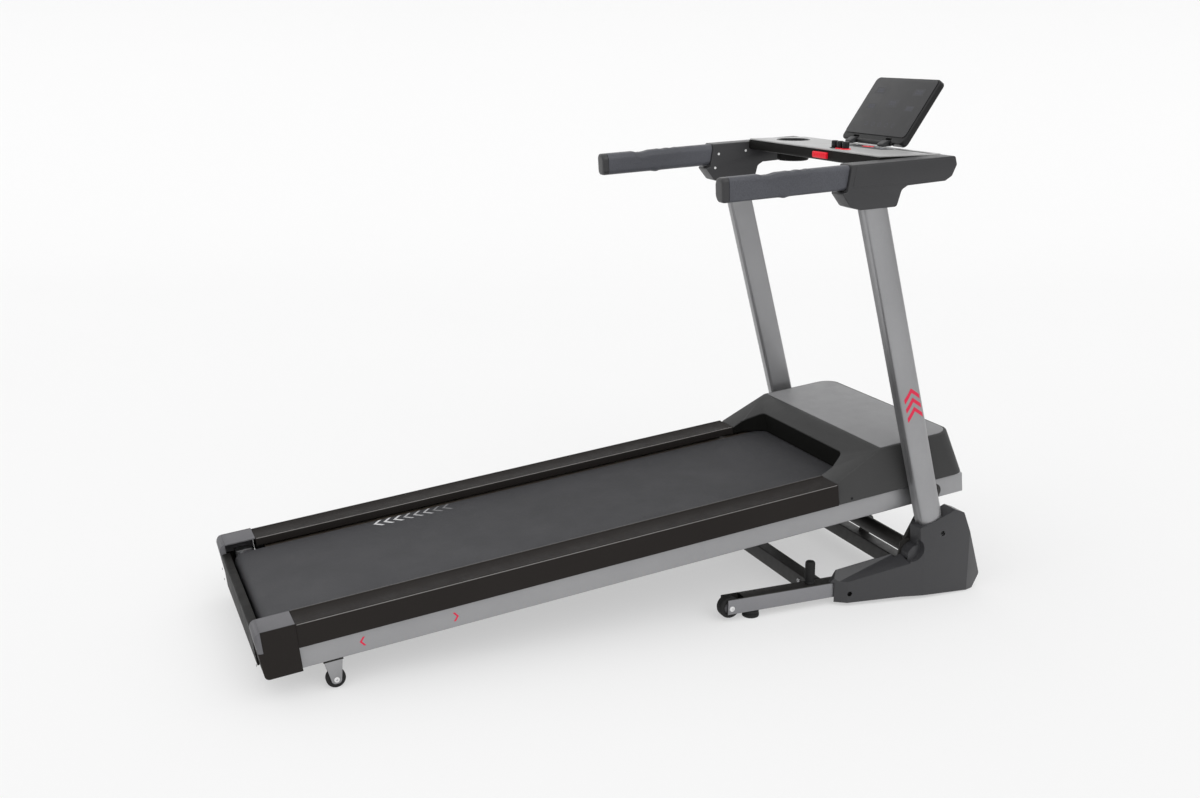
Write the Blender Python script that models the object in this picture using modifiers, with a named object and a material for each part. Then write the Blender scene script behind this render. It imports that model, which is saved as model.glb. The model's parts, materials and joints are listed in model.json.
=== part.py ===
"""Folding treadmill with a powered incline, modelled in metres with +Z up and +Y the way the runner faces.

The floor is Z = 0 and X = 0 is the plane of symmetry. Y is measured from a datum near the rear end of
the base tubes, and the empty treadmill_origin shifts everything so that the object's box is centred.
Everything on the deck is laid out in the deck's own frame: its origin is the bolt that the deck folds
on, its Y runs along the deck and its Z is square to the belt.
"""
import math

import bmesh
import bpy
from mathutils import Matrix, Vector

# --- Driving dimensions (metres) ---
BOX_SHIFT = 0.1708         # from the Y datum to the middle of the object's box
GAP = 0.0004               # between pieces that touch

DECK_PITCH = math.radians(6.2)
FOLD_Y, FOLD_Z = 0.620, 0.262        # bolt between lift arms and deck
LIFT_Y, LIFT_Z = 0.549, 0.122        # cross tube that the lift arms turn on
MOTOR_PIVOT = 0.060                  # lift motor's pivot above the fold bolt, on the deck
LIFT_FOOT_Z = 0.085                  # bolt under the lift screw

RAIL_OUT, RAIL_IN = 0.317, 0.237     # foot rails, half widths
RAIL_REAR, RAIL_FRONT = -1.620, -0.2825
RAIL_TOP, RAIL_BOTTOM = 0.0856, 0.0300
CAP_REAR = -1.710
SIDE_OUT, SIDE_IN = 0.3035, 0.2735   # deck side tubes
SIDE_TOP, SIDE_BOTTOM = 0.0267, -0.0248
SIDE_REAR, SIDE_FRONT = -1.640, 0.0906
WALL = 0.002

ROLLER_R = 0.0222
ROLLER_V = 0.0386
REAR_ROLLER_U, FRONT_ROLLER_U = -1.6550, -0.1350
BELT_HALF = 0.225
BELT_IN, BELT_OUT = 0.0226, 0.0248   # belt's radii over the rollers
PULLEY_R, MOTOR_PULLEY_R = 0.0275, 0.0120
MOTOR_U, MOTOR_V, MOTOR_R = -0.020, 0.0730, 0.040

HOOD_CREASE_U, HOOD_CREASE_V = -0.1445, 0.1424
HOOD_TOP_FRONT_U = 0.074
HOOD_BOTTOM_HALF, HOOD_TOP_HALF = 0.3165, 0.2950
HOOD_WALL = 0.003
RECESS_U = -0.200

WHEEL_R = 0.022
WHEEL_X, WHEEL_U, WHEEL_V = 0.2885, -1.552, -0.0726
CASTOR_R, CASTOR_Y, CASTOR_Z = 0.0270, 0.0450, 0.0345

TUBE_IN, TUBE_OUT = 0.277, 0.317     # base side tubes
TUBE_LOW, TUBE_HIGH = 0.019, 0.059
TUBE_REAR, TUBE_FRONT = 0.034, 0.700
BRACKET_OUT = 0.3205
COVER_IN, COVER_OUT = 0.3085, 0.3705
ARM_IN, ARM_OUT = 0.3055, 0.3135

UPRIGHT_IN, UPRIGHT_OUT = 0.3235, 0.3665
UPRIGHT_DEPTH = 0.062
UPRIGHT_Y0 = 0.640                   # centre line where it would meet the floor
UPRIGHT_LEAN = math.radians(15.1)
UPRIGHT_LOW, UPRIGHT_HIGH = 0.070, 1.045

GRIP_TILT = math.radians(3.0)
GRIP_REAR, GRIP_FRONT = -0.030, 0.2925
GRIP_OUT, GRIP_WIDTH, GRIP_HEIGHT = 0.3635, 0.041, 0.056
GRIP_Z = 1.0500                      # centre height at the rear end
ARMCAP_IN, ARMCAP_OUT = 0.3175, 0.3720

CONSOLE_REAR, CONSOLE_FRONT = 0.400, 0.575
CONSOLE_LOW, CONSOLE_HIGH = 1.080, 1.1100
TOP_THICK = 0.004
CUP_X, CUP_Y, CUP_R = -0.225, 0.485, 0.0400
DISPLAY_LEAN = math.radians(34.6)
DISPLAY_Y, DISPLAY_Z = 0.584, 1.1165  # tilt axis
DISPLAY_HALF, DISPLAY_TALL, DISPLAY_THICK = 0.140, 0.190, 0.020

# name: (colour, roughness, metallic)
MATERIALS = {
    "frame_paint": ((0.30, 0.30, 0.31), 0.42, 0.6),
    "black_paint": ((0.035, 0.034, 0.034), 0.45, 0.2),
    "cover_plastic": ((0.055, 0.055, 0.060), 0.55, 0.0),
    "rail_plastic": ((0.040, 0.038, 0.036), 0.50, 0.0),
    "cap_plastic": ((0.20, 0.20, 0.21), 0.50, 0.0),
    "hood_plastic": ((0.085, 0.085, 0.090), 0.50, 0.0),
    "console_silver": ((0.62, 0.63, 0.63), 0.40, 0.0),
    "screen_gloss": ((0.055, 0.055, 0.060), 0.25, 0.0),
    "belt_rubber": ((0.050, 0.051, 0.055), 0.80, 0.0),
    "grip_foam": ((0.10, 0.10, 0.11), 0.85, 0.0),
    "black_rubber": ((0.02, 0.02, 0.02), 0.75, 0.0),
    "red_plastic": ((0.80, 0.02, 0.05), 0.35, 0.0),
    "key_plastic": ((0.03, 0.03, 0.03), 0.40, 0.0),
    "steel": ((0.60, 0.60, 0.62), 0.30, 1.0),
    "motor_shell": ((0.08, 0.08, 0.09), 0.45, 0.4),
    "board_wood": ((0.07, 0.06, 0.05), 0.60, 0.0),
    "circuit": ((0.02, 0.15, 0.06), 0.50, 0.0),
}


# --- Scene, collections and materials ---
for old in list(bpy.data.objects):
    bpy.data.objects.remove(old, do_unlink=True)
scene = bpy.context.scene
parts = bpy.data.collections.new("treadmill")
scene.collection.children.link(parts)
cutters = bpy.data.collections.new("cutters")
scene.collection.children.link(cutters)


def make_material(name):
    colour, roughness, metallic = MATERIALS[name]
    material = bpy.data.materials.new(name)
    material.use_nodes = True
    shader = material.node_tree.nodes["Principled BSDF"]
    shader.inputs["Base Color"].default_value = (*colour, 1.0)
    shader.inputs["Roughness"].default_value = roughness
    shader.inputs["Metallic"].default_value = metallic
    material.diffuse_color = (*colour, 1.0)
    return material


materials = {name: make_material(name) for name in MATERIALS}


def make_empty(name, location, parent=None, pitch=0.0):
    empty = bpy.data.objects.new(name, None)
    empty.location = location
    empty.rotation_euler.x = pitch
    empty.parent = parent
    parts.objects.link(empty)
    return empty


origin = make_empty("treadmill_origin", (0, BOX_SHIFT, 0))
lift_axis = make_empty("lift_axis", (0, LIFT_Y, LIFT_Z), origin)
deck_axis = make_empty("deck_axis", (0, FOLD_Y, FOLD_Z), origin, DECK_PITCH)


# --- Builders ---
def new_object(name, mesh, material, parent):
    obj = bpy.data.objects.new(name, mesh)
    obj.parent = parent
    if material is None:
        cutters.objects.link(obj)
        obj.hide_render = True
        obj.display_type = "WIRE"
    else:
        parts.objects.link(obj)
        mesh.materials.append(materials[material])
    return obj


def mesh_from(name, bm, smooth_angle=40):
    bmesh.ops.recalc_face_normals(bm, faces=bm.faces)
    mesh = bpy.data.meshes.new(name)
    bm.to_mesh(mesh)
    bm.free()
    mesh.shade_smooth()
    mesh.set_sharp_from_angle(angle=math.radians(smooth_angle))
    return mesh


def box(name, low, high, material=None, parent=None, bevel=0.0, steps=2):
    """A box between two corners, its origin at its centre."""
    low, high = Vector(low), Vector(high)
    bm = bmesh.new()
    bmesh.ops.create_cube(bm, size=1.0)
    bmesh.ops.scale(bm, vec=high - low, verts=bm.verts)
    obj = new_object(name, mesh_from(name, bm), material, parent or origin)
    obj.location = (low + high) / 2
    if bevel:
        add_bevel(obj, bevel, steps)
    return obj


def cylinder(name, centre, radius, length, material=None, parent=None, axis="X", sides=24, end_radius=None):
    """A cylinder or cone about an axis through its centre, which is its origin."""
    bm = bmesh.new()
    far = radius if end_radius is None else end_radius
    bmesh.ops.create_cone(bm, cap_ends=True, segments=sides, radius1=radius, radius2=far, depth=length)
    turn = {"X": Matrix.Rotation(math.pi / 2, 3, "Y"), "Y": Matrix.Rotation(-math.pi / 2, 3, "X")}
    if axis in turn:
        bmesh.ops.rotate(bm, cent=(0, 0, 0), matrix=turn[axis], verts=bm.verts)
    obj = new_object(name, mesh_from(name, bm), material, parent or origin)
    obj.location = centre
    return obj


def spindle(name, stations, material, parent, sides=28):
    """A piece turned about X, from (x, radius) stations in order of x. Its origin is on its axis."""
    profile = bpy.data.meshes.new(name + "_profile")
    points = [(stations[0][0], 0.0, 0.0)]
    points += [(x, 0.0, radius) for x, radius in stations]
    points += [(stations[-1][0], 0.0, 0.0)]
    profile.from_pydata(points, [(i, i + 1) for i in range(len(points) - 1)], [])
    obj = new_object(name, profile, material, parent)
    turn = obj.modifiers.new("turn", "SCREW")
    turn.axis = "X"
    turn.angle = 2 * math.pi
    turn.steps = sides
    turn.render_steps = sides
    turn.use_merge_vertices = True
    turn.use_normal_flip = True
    turn.merge_threshold = 0.00002
    return obj


def hull(name, points, material=None, parent=None):
    """The convex solid round some points."""
    bm = bmesh.new()
    for point in points:
        bm.verts.new(point)
    bmesh.ops.convex_hull(bm, input=bm.verts)
    return new_object(name, mesh_from(name, bm), material, parent or origin)


AXIS_FRAMES = {
    "X": Matrix(((0, 0, 1), (1, 0, 0), (0, 1, 0))),
    "Y": Matrix(((1, 0, 0), (0, 0, -1), (0, 1, 0))),
    "Z": Matrix.Identity(3),
}


def extrude(name, outlines, axis, start, end, material=None, parent=None, bevel=0.0, steps=2):
    """Flat closed outlines, the first the rim and the rest holes, extruded between two stations on an axis.

    The outline's two numbers are Y, Z for axis X, X, Z for axis Y and X, Y for axis Z.
    """
    if not isinstance(outlines[0][0], (tuple, list)):
        outlines = [outlines]
    curve = bpy.data.curves.new(name, "CURVE")
    curve.dimensions = "2D"
    curve.fill_mode = "BOTH"
    curve.extrude = abs(end - start) / 2
    for outline in outlines:
        spline = curve.splines.new("POLY")
        spline.points.add(len(outline) - 1)
        for point, (a, b) in zip(spline.points, outline):
            point.co = (a, b, 0, 1)
        spline.use_cyclic_u = True
    helper = bpy.data.objects.new(name + "_outline", curve)
    scene.collection.objects.link(helper)
    graph = bpy.context.evaluated_depsgraph_get()
    flat = bpy.data.meshes.new_from_object(helper.evaluated_get(graph))
    bpy.data.objects.remove(helper)
    bpy.data.curves.remove(curve)
    bm = bmesh.new()
    bm.from_mesh(flat)
    bpy.data.meshes.remove(flat)
    bmesh.ops.remove_doubles(bm, verts=bm.verts, dist=1e-6)
    bmesh.ops.transform(bm, matrix=AXIS_FRAMES[axis].to_4x4(), verts=bm.verts)
    middle = (start + end) / 2 * (-1 if axis == "Y" else 1)
    offset = AXIS_FRAMES[axis] @ Vector((0, 0, middle))
    bmesh.ops.translate(bm, vec=offset, verts=bm.verts)
    obj = new_object(name, mesh_from(name, bm), material, parent or origin)
    if bevel:
        add_bevel(obj, bevel, steps)
    return obj


def add_bevel(obj, width, steps=2, angle=40):
    bevel = obj.modifiers.new("edges", "BEVEL")
    bevel.width = width
    bevel.segments = steps
    bevel.limit_method = "ANGLE"
    bevel.angle_limit = math.radians(angle)


def combine(obj, other, operation):
    boolean = obj.modifiers.new(operation.lower(), "BOOLEAN")
    boolean.operation = operation
    boolean.object = other
    boolean.solver = "EXACT"


def cut(obj, *others):
    for other in others:
        combine(obj, other, "DIFFERENCE")
    return obj


def weld(obj, *others):
    for other in others:
        combine(obj, other, "UNION")
    return obj


def round_corners(points, radius, steps=4):
    """The outline with each corner replaced by an arc. radius is a number, or one for each corner."""
    count = len(points)
    radii = [radius] * count if isinstance(radius, (int, float)) else radius
    rounded = []
    for i, point in enumerate(points):
        corner = Vector(point)
        to_last = Vector(points[i - 1]) - corner
        to_next = Vector(points[(i + 1) % count]) - corner
        if radii[i] <= 0:
            rounded.append(tuple(corner))
            continue
        half = to_last.angle(to_next) / 2
        reach = min(radii[i] / math.tan(half), 0.49 * to_last.length, 0.49 * to_next.length)
        r = reach * math.tan(half)
        bisector = (to_last.normalized() + to_next.normalized()).normalized()
        centre = corner + bisector * (r / math.sin(half))
        first = corner + to_last.normalized() * reach - centre
        last = corner + to_next.normalized() * reach - centre
        sweep = first.angle_signed(last)
        for step in range(steps + 1):
            turn = -sweep * step / steps
            rounded.append(tuple(centre + Matrix.Rotation(turn, 2) @ first))
    return rounded


def circle(centre, radius, sides=24):
    return [
        (
            centre[0] + radius * math.cos(2 * math.pi * i / sides),
            centre[1] + radius * math.sin(2 * math.pi * i / sides),
        )
        for i in range(sides)
    ]


def belt_line(rear, rear_radius, front, front_radius, steps=14):
    """The outline of a belt round two wheels: an arc on each, joined by their outer tangents."""
    span = Vector(front) - Vector(rear)
    base_angle = math.atan2(span.y, span.x)
    lean = math.acos((rear_radius - front_radius) / span.length)
    line = []
    for i in range(steps + 1):
        angle = base_angle - lean + 2 * lean * i / steps
        line.append((front[0] + front_radius * math.cos(angle), front[1] + front_radius * math.sin(angle)))
    for i in range(steps + 1):
        angle = base_angle + lean + (2 * math.pi - 2 * lean) * i / steps
        line.append((rear[0] + rear_radius * math.cos(angle), rear[1] + rear_radius * math.sin(angle)))
    return line


def sides():
    """(name, sign) of the two sides: the runner's right is +X."""
    return (("right", 1), ("left", -1))


def span(sign, low, high):
    """A stretch of X on one side, as (lower, higher)."""
    return (low, high) if sign > 0 else (-high, -low)


def channel(name, low, high, material=None, parent=None, along="Y", wall=WALL):
    """A rectangular tube that is open at both ends."""
    obj = box(name, low, high, material, parent)
    low, high = Vector(low), Vector(high)
    inner_low, inner_high = low.copy(), high.copy()
    for i, axis in enumerate("XYZ"):
        step = -0.01 if axis == along else wall
        inner_low[i] += step
        inner_high[i] -= step
    return cut(obj, box(name + "_bore", inner_low, inner_high, parent=parent))


# --- Base ---
def make_base():
    for side, sign in sides():
        x = span(sign, TUBE_IN, TUBE_OUT)
        tube = channel(f"base_tube_{side}", (x[0], TUBE_REAR, TUBE_LOW), (x[1], TUBE_FRONT, TUBE_HIGH), "frame_paint")
        inside = span(sign, TUBE_IN + WALL, TUBE_OUT - WALL)
        room = box(f"castor_room_{side}", (inside[0], 0.02, 0.0), (inside[1], 0.080, 0.1))
        cut(tube, room)
        pivot_outline = round_corners(
            [(0.505, 0.0205), (0.690, 0.0205), (0.690, 0.0560), (0.578, 0.1480), (0.520, 0.1480)], 0.012
        )
        bracket = extrude(f"pivot_plate_{side}", pivot_outline, "X", *span(sign, TUBE_OUT - 0.001, BRACKET_OUT))
        shoe = box(
            f"upright_shoe_{side}",
            (span(sign, TUBE_OUT - 0.0015, UPRIGHT_OUT)[0], 0.5800, 0.0230),
            (span(sign, TUBE_OUT - 0.0015, UPRIGHT_OUT)[1], 0.6800, 0.0580),
        )
        spigot = make_upright_prism(f"upright_spigot_{side}", sign, None, -0.0032, 0.040, 0.150)
        axle_hole = cylinder(f"lift_hole_{side}", (sign * 0.318, LIFT_Y, LIFT_Z), 0.0125, 0.02)
        weld(tube, bracket, shoe, spigot)
        cut(tube, axle_hole)
        for end, y in (("rear", 0.107), ("front", 0.660)):
            cylinder(
                f"foot_pad_{end}_{side}",
                (sign * 0.297, y, (TUBE_LOW - GAP) / 2),
                0.0215,
                TUBE_LOW - GAP,
                "black_rubber",
                axis="Z",
                end_radius=0.0195,
            )
        post_top = 0.118
        post = cylinder(
            f"bumper_post_{side}",
            (sign * 0.297, 0.272, (TUBE_HIGH + GAP + post_top) / 2),
            0.0125,
            post_top - TUBE_HIGH - GAP,
            "black_rubber",
            axis="Z",
        )
        add_bevel(post, 0.003)
        castor = span(sign, 0.2835, 0.3105)
        spindle(
            f"transport_wheel_{side}",
            [(x - sign * 0.297, r) for x, r in (
                (castor[0] - 0.0035, 0.007),
                (castor[0], 0.007),
                (castor[0] + 0.0005, CASTOR_R - 0.002),
                (castor[0] + 0.003, CASTOR_R),
                (castor[1] - 0.003, CASTOR_R),
                (castor[1] - 0.0005, CASTOR_R - 0.002),
                (castor[1], 0.007),
                (castor[1] + 0.0035, 0.007),
            )],
            "black_rubber",
            origin,
        ).location = (sign * 0.297, CASTOR_Y, CASTOR_Z)
    for name, y in (("rear_crossbar", (0.278, 0.316)), ("front_crossbar", (0.572, 0.610))):
        bar = channel(
            name,
            (-TUBE_IN + GAP, y[0], TUBE_LOW),
            (TUBE_IN - GAP, y[1], TUBE_HIGH),
            "black_paint",
            along="X",
        )
        if name == "front_crossbar":
            ear = extrude(
                "lift_foot_ear",
                round_corners([(0.585, 0.040), (0.635, 0.052), (0.635, 0.101), (0.605, 0.101)], 0.010),
                "X", 0.0215, 0.0275,
            )
            weld(bar, ear)


def make_base_cover(side, sign):
    knee = [
        (0.552 + 0.032 * math.cos(math.radians(turn)), 0.1085 + 0.032 * math.sin(math.radians(turn)))
        for turn in (168, 150, 132, 114, 96)
    ]
    outline = round_corners(
        [
            (0.3185, 0.0090), (0.3085, 0.0420), (0.3380, 0.0885), (0.5190, 0.1110), *knee, (0.5436, 0.1905),
            (0.5850, 0.2030), (0.6450, 0.2270), (0.6720, 0.2160), (0.7460, 0.0340), (0.7180, 0.0020), (0.5000, 0.0110),
        ],
        [0.004, 0.006, 0.006, 0.002, 0, 0, 0, 0, 0, 0.005, 0.010, 0.008, 0.008, 0.008, 0.006, 0.010],
        3,
    )
    cover = extrude(f"base_cover_{side}", outline, "X", *span(sign, COVER_IN, COVER_OUT), "cover_plastic")
    inner = [(0.356, -0.020), (0.356, 0.0865), (0.5225, 0.1070), (0.5575, 0.1350), (0.5485, 0.1850), (0.590, 0.1975),
             (0.655, 0.206), (0.690, 0.150), (0.725, 0.060), (0.712, -0.020)]
    hollow = extrude(f"cover_hollow_{side}", inner, "X", *span(sign, COVER_IN + 0.004, COVER_OUT - 0.003))
    cut(cover, *cover_facets(f"cover_facet_{side}", sign, 0.0))
    cut(hollow, *cover_facets(f"hollow_facet_{side}", sign, 0.003))
    room_x = span(sign, 0.20, BRACKET_OUT + 0.0012)
    tube_room = box(f"tube_room_{side}", (room_x[0], 0.25, -0.1), (room_x[1], 0.80, TUBE_HIGH + GAP))
    arm_room = box(f"arm_room_{side}", (room_x[0], 0.500, -0.1), (room_x[1], 0.80, 0.40))
    upright_room = make_upright_prism(f"upright_room_{side}", sign, None, 0.0012, 0.04, 0.5)
    cut(cover, tube_room, arm_room, upright_room, hollow)


def cover_facets(name, sign, inset):
    """What the base cover's outer side lacks of a plain block: flare, rear corner, chamfer and the scoop at the knee."""
    flare = hull(
        name + "_flare",
        [(sign * x, y, z) for z in (-0.05, 0.30) for x, y in (
            (0.3290 - inset, 0.270), (COVER_OUT - inset, 0.560), (0.42, 0.560), (0.42, 0.270))],
    )
    corner = hull(
        name + "_corner",
        [(sign * x, y, z) for z in (-0.05, 0.30) for x, y in (
            (0.3019 - inset, 0.3007 + inset), (0.3514 - inset, 0.3705 + inset), (0.42, 0.3705), (0.42, 0.20),
            (0.3019 - inset, 0.20))],
    )
    chamfer = hull(
        name + "_chamfer",
        [(sign * x, y, z) for x, y, z in (
            (0.3322 - inset, 0.300, 0.0547 - inset), (0.3686 - inset, 0.5215, 0.0972 - inset),
            (0.3105 - inset, 0.300, 0.0830 - inset), (0.3105 - inset, 0.5215, 0.1129 - inset),
            (0.3105 - inset, 0.300, 0.2000), (0.3105 - inset, 0.5215, 0.2000),
            (0.42, 0.300, 0.0547 - inset), (0.42, 0.5215, 0.0972 - inset),
            (0.42, 0.300, 0.2000), (0.42, 0.5215, 0.2000))],
    )
    middle = (sign * (0.386 - inset), 0.5265, 0.1335)
    scoop = cylinder(name + "_scoop", middle, 0.0310 + inset, 0.068, axis="X", sides=40)
    return flare, corner, chamfer, scoop


def make_upright_prism(name, sign, material, grow=0.0, low=UPRIGHT_LOW, high=UPRIGHT_HIGH):
    """The upright's section swept along its leaning centre line, grown all round for a cutter."""
    x0, x1 = UPRIGHT_IN - grow, UPRIGHT_OUT + grow
    half = UPRIGHT_DEPTH / 2 + grow
    section = round_corners(
        [(x0, -half), (x1, -half), (x1, half), (x0, half)], [0.006, 0.020, 0.020, 0.006], 5
    )
    section = [(sign * x, y) for x, y in section]
    if sign < 0:
        section.reverse()
    obj = extrude(name, section, "Z", low / math.cos(UPRIGHT_LEAN), high / math.cos(UPRIGHT_LEAN), material)
    obj.location = (0, UPRIGHT_Y0, 0)
    obj.rotation_euler.x = UPRIGHT_LEAN
    return obj


def make_uprights():
    for side, sign in sides():
        upright = make_upright_prism(f"upright_{side}", sign, "frame_paint")
        bore = make_upright_prism(f"upright_bore_{side}", sign, None, -0.0025, 0.0, 1.3)
        cut(upright, bore)
        make_base_cover(side, sign)


# --- Handlebars and console ---
def make_handlebars():
    for side, sign in sides():
        length = (GRIP_FRONT + 0.004 - GRIP_REAR) / math.cos(GRIP_TILT)
        x0, x1 = GRIP_OUT - GRIP_WIDTH, GRIP_OUT
        half = GRIP_HEIGHT / 2
        section = round_corners(
            [(x0, -half), (x1, -half), (x1, half), (x0, half)], [0.016, 0.010, 0.010, 0.016], 4
        )
        section = [(sign * x, z) for x, z in section]
        if sign < 0:
            section.reverse()
        grip = extrude(f"handlebar_{side}", section, "Y", 0.0, length, "grip_foam")
        grip.location = (0, GRIP_REAR, GRIP_Z)
        grip.rotation_euler.x = GRIP_TILT
        beyond = extrude(
            f"grip_end_{side}",
            [(0.2930, 1.1000), (0.2822, 1.0330), (0.40, 1.0330), (0.40, 1.1000)],
            "X", *span(sign, 0.30, 0.40),
        )
        cut(grip, beyond)
        outline = round_corners(
            [
                (0.2935, 1.0965), (0.2835, 1.0360), (0.2700, 1.0330), (0.2960, 1.0000), (0.3230, 0.9930),
                (0.4200, 0.9970), (0.4300, 1.0360), (0.4450, 1.0450), (0.5490, 1.0520), (0.5670, 1.0630),
                (0.5790, 1.0890), (0.5730, 1.1090),
            ],
            [0.003, 0.002, 0.004, 0.012, 0.010, 0.008, 0.012, 0.006, 0.008, 0.006, 0.006, 0.006],
            3,
        )
        cap = extrude(f"bracket_cover_{side}", outline, "X", *span(sign, ARMCAP_IN, ARMCAP_OUT), "cover_plastic",
                      bevel=0.004)
        room = make_upright_prism(f"upright_top_room_{side}", sign, None, 0.0005, 0.9, UPRIGHT_HIGH + 0.0006)
        cut(cap, room)


def make_console():
    half = ARMCAP_IN - GAP
    low, high = CONSOLE_LOW, CONSOLE_HIGH - TOP_THICK
    outline = round_corners(
        [(CONSOLE_REAR, low), (CONSOLE_FRONT - 0.02, low - 0.012), (CONSOLE_FRONT, low + 0.004),
         (CONSOLE_FRONT, high), (CONSOLE_REAR, high)],
        [0.006, 0.010, 0.006, 0.0, 0.0], 3,
    )
    housing = extrude("console_housing", outline, "X", -half, half, "cover_plastic")
    plan = round_corners(
        [(-half, CONSOLE_REAR), (half, CONSOLE_REAR), (half, CONSOLE_FRONT), (-half, CONSOLE_FRONT)],
        [0.004, 0.004, 0.010, 0.010], 3,
    )
    top = extrude("console_top", plan, "Z", high + GAP, CONSOLE_HIGH, "console_silver")
    # One cup holder, on the left.
    weld(housing, cylinder("cup_outer", (CUP_X, CUP_Y, 1.0740), CUP_R + 0.003, 0.0380, axis="Z"))
    cut(housing, cylinder("cup_bore", (CUP_X, CUP_Y, 1.0940), CUP_R, 0.0720, axis="Z"))
    cut(top, cylinder("cup_mouth", (CUP_X, CUP_Y, CONSOLE_HIGH), CUP_R + 0.0005, 0.02, axis="Z"))
    key_room = box("key_room", (0.023, CONSOLE_REAR - 0.01, 1.0840), (0.091, CONSOLE_REAR + 0.0212, 1.1020))
    cut(housing, key_room)
    box("safety_key", (0.0240, CONSOLE_REAR - 0.006, 1.0850), (0.0900, CONSOLE_REAR + 0.0200, 1.1010), "red_plastic",
        bevel=0.003)
    # Round keys with a collar, and two flat keys, each standing in its own hole.
    round_keys = (("speed_key", 0.070), ("incline_key", 0.095), ("program_key", 0.120))
    for name, x in round_keys:
        place = (x, 0.432)
        hole = cylinder(name + "_hole", (*place, CONSOLE_HIGH), 0.0092, 0.040, axis="Z", sides=20)
        cut(top, hole)
        cut(housing, hole)
        stem = cylinder(name, (*place, CONSOLE_HIGH + 0.004), 0.0087, 0.030, "key_plastic", axis="Z", sides=20)
        add_bevel(stem, 0.0015)
    for name, x, material in (("start_key", 0.020, "key_plastic"), ("stop_key", 0.070, "red_plastic")):
        low_corner, high_corner = (x - 0.016, 0.520, 1.0950), (x + 0.016, 0.538, 1.1120)
        hole = box(
            name + "_hole",
            [v - 0.0005 for v in low_corner[:2]] + [1.0900],
            [v + 0.0005 for v in high_corner[:2]] + [1.1300],
        )
        cut(top, hole)
        cut(housing, hole)
        box(name, low_corner, high_corner, material, bevel=0.0012)


def make_display():
    tilt = make_empty("display_axis", (0, DISPLAY_Y, DISPLAY_Z), origin, -DISPLAY_LEAN)
    barrel = 0.0070
    for side, sign in sides():
        x = span(sign, 0.062, 0.086)
        outline = round_corners(
            [(DISPLAY_Y - 0.036, CONSOLE_HIGH + GAP), (DISPLAY_Y + 0.004, CONSOLE_HIGH + GAP),
             (DISPLAY_Y + 0.009, DISPLAY_Z + 0.002), (DISPLAY_Y + 0.003, DISPLAY_Z + 0.009),
             (DISPLAY_Y - 0.008, DISPLAY_Z + 0.009)],
            [0.004, 0.003, 0.004, 0.004, 0.006], 4,
        )
        mount = extrude(f"display_mount_{side}", outline, "X", *x, "cover_plastic")
        cut(mount, cylinder(f"display_pin_hole_{side}", (sign * 0.074, DISPLAY_Y, DISPLAY_Z), 0.0043, 0.05, sides=20))
    panel_outline = round_corners(
        [(-DISPLAY_HALF, 0.0), (DISPLAY_HALF, 0.0), (DISPLAY_HALF, DISPLAY_TALL), (-DISPLAY_HALF, DISPLAY_TALL)],
        0.014, 4,
    )
    body = extrude("display_housing", panel_outline, "Y", -0.0045, DISPLAY_THICK - 0.006, "cover_plastic", tilt,
                   bevel=0.003)
    for side, sign in sides():
        notch = box(f"mount_notch_{side}", (sign * 0.074 - 0.0128, -0.05, -0.02),
                    (sign * 0.074 + 0.0128, 0.05, 0.0135), parent=tilt)
        cut(body, notch)
    pin = cylinder("display_pin", (0, 0, 0), 0.0040, 0.196, parent=tilt, sides=20)
    knuckle = cylinder("display_knuckle", (0, 0, 0), barrel, 0.120, parent=tilt, sides=20)
    bridge = box("display_bridge", (-0.058, -0.0040, 0.0), (0.058, 0.0080, 0.020), parent=tilt)
    weld(body, knuckle, bridge, pin)
    lens_outline = round_corners(
        [(-DISPLAY_HALF + 0.006, 0.020), (DISPLAY_HALF - 0.006, 0.020),
         (DISPLAY_HALF - 0.006, DISPLAY_TALL - 0.006), (-DISPLAY_HALF + 0.006, DISPLAY_TALL - 0.006)],
        0.010, 4,
    )
    extrude("display_lens", lens_outline, "Y", -0.0045 - GAP - 0.0016, -0.0045 - GAP, "screen_gloss", tilt)


# --- Lift frame, yoke and lift motor ---
def make_lift():
    reach = (FOLD_Y - LIFT_Y, FOLD_Z - LIFT_Z)
    tube = spindle(
        "lift_frame",
        [(-0.3200, 0.0120), (-ARM_OUT + 0.001, 0.0120), (-ARM_OUT + 0.001, 0.0190), (ARM_OUT - 0.001, 0.0190),
         (ARM_OUT - 0.001, 0.0120), (0.3200, 0.0120)],
        "black_paint",
        lift_axis,
    )
    along = math.atan2(reach[1], reach[0])
    length = math.hypot(*reach)
    for side, sign in sides():
        arm_line = belt_line((0.0, 0.0), 0.0240, (length, 0.0), 0.0180, 10)
        turned = [
            (a * math.cos(along) - b * math.sin(along), a * math.sin(along) + b * math.cos(along))
            for a, b in arm_line
        ]
        arm = extrude(f"lift_arm_{side}", turned, "X", *span(sign, ARM_IN, ARM_OUT), parent=lift_axis)
        pin = cylinder(f"fold_pin_{side}", (sign * 0.2870, *reach), 0.0080, 0.0490, parent=lift_axis)
        weld(tube, arm, pin)
    make_yoke()


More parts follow.
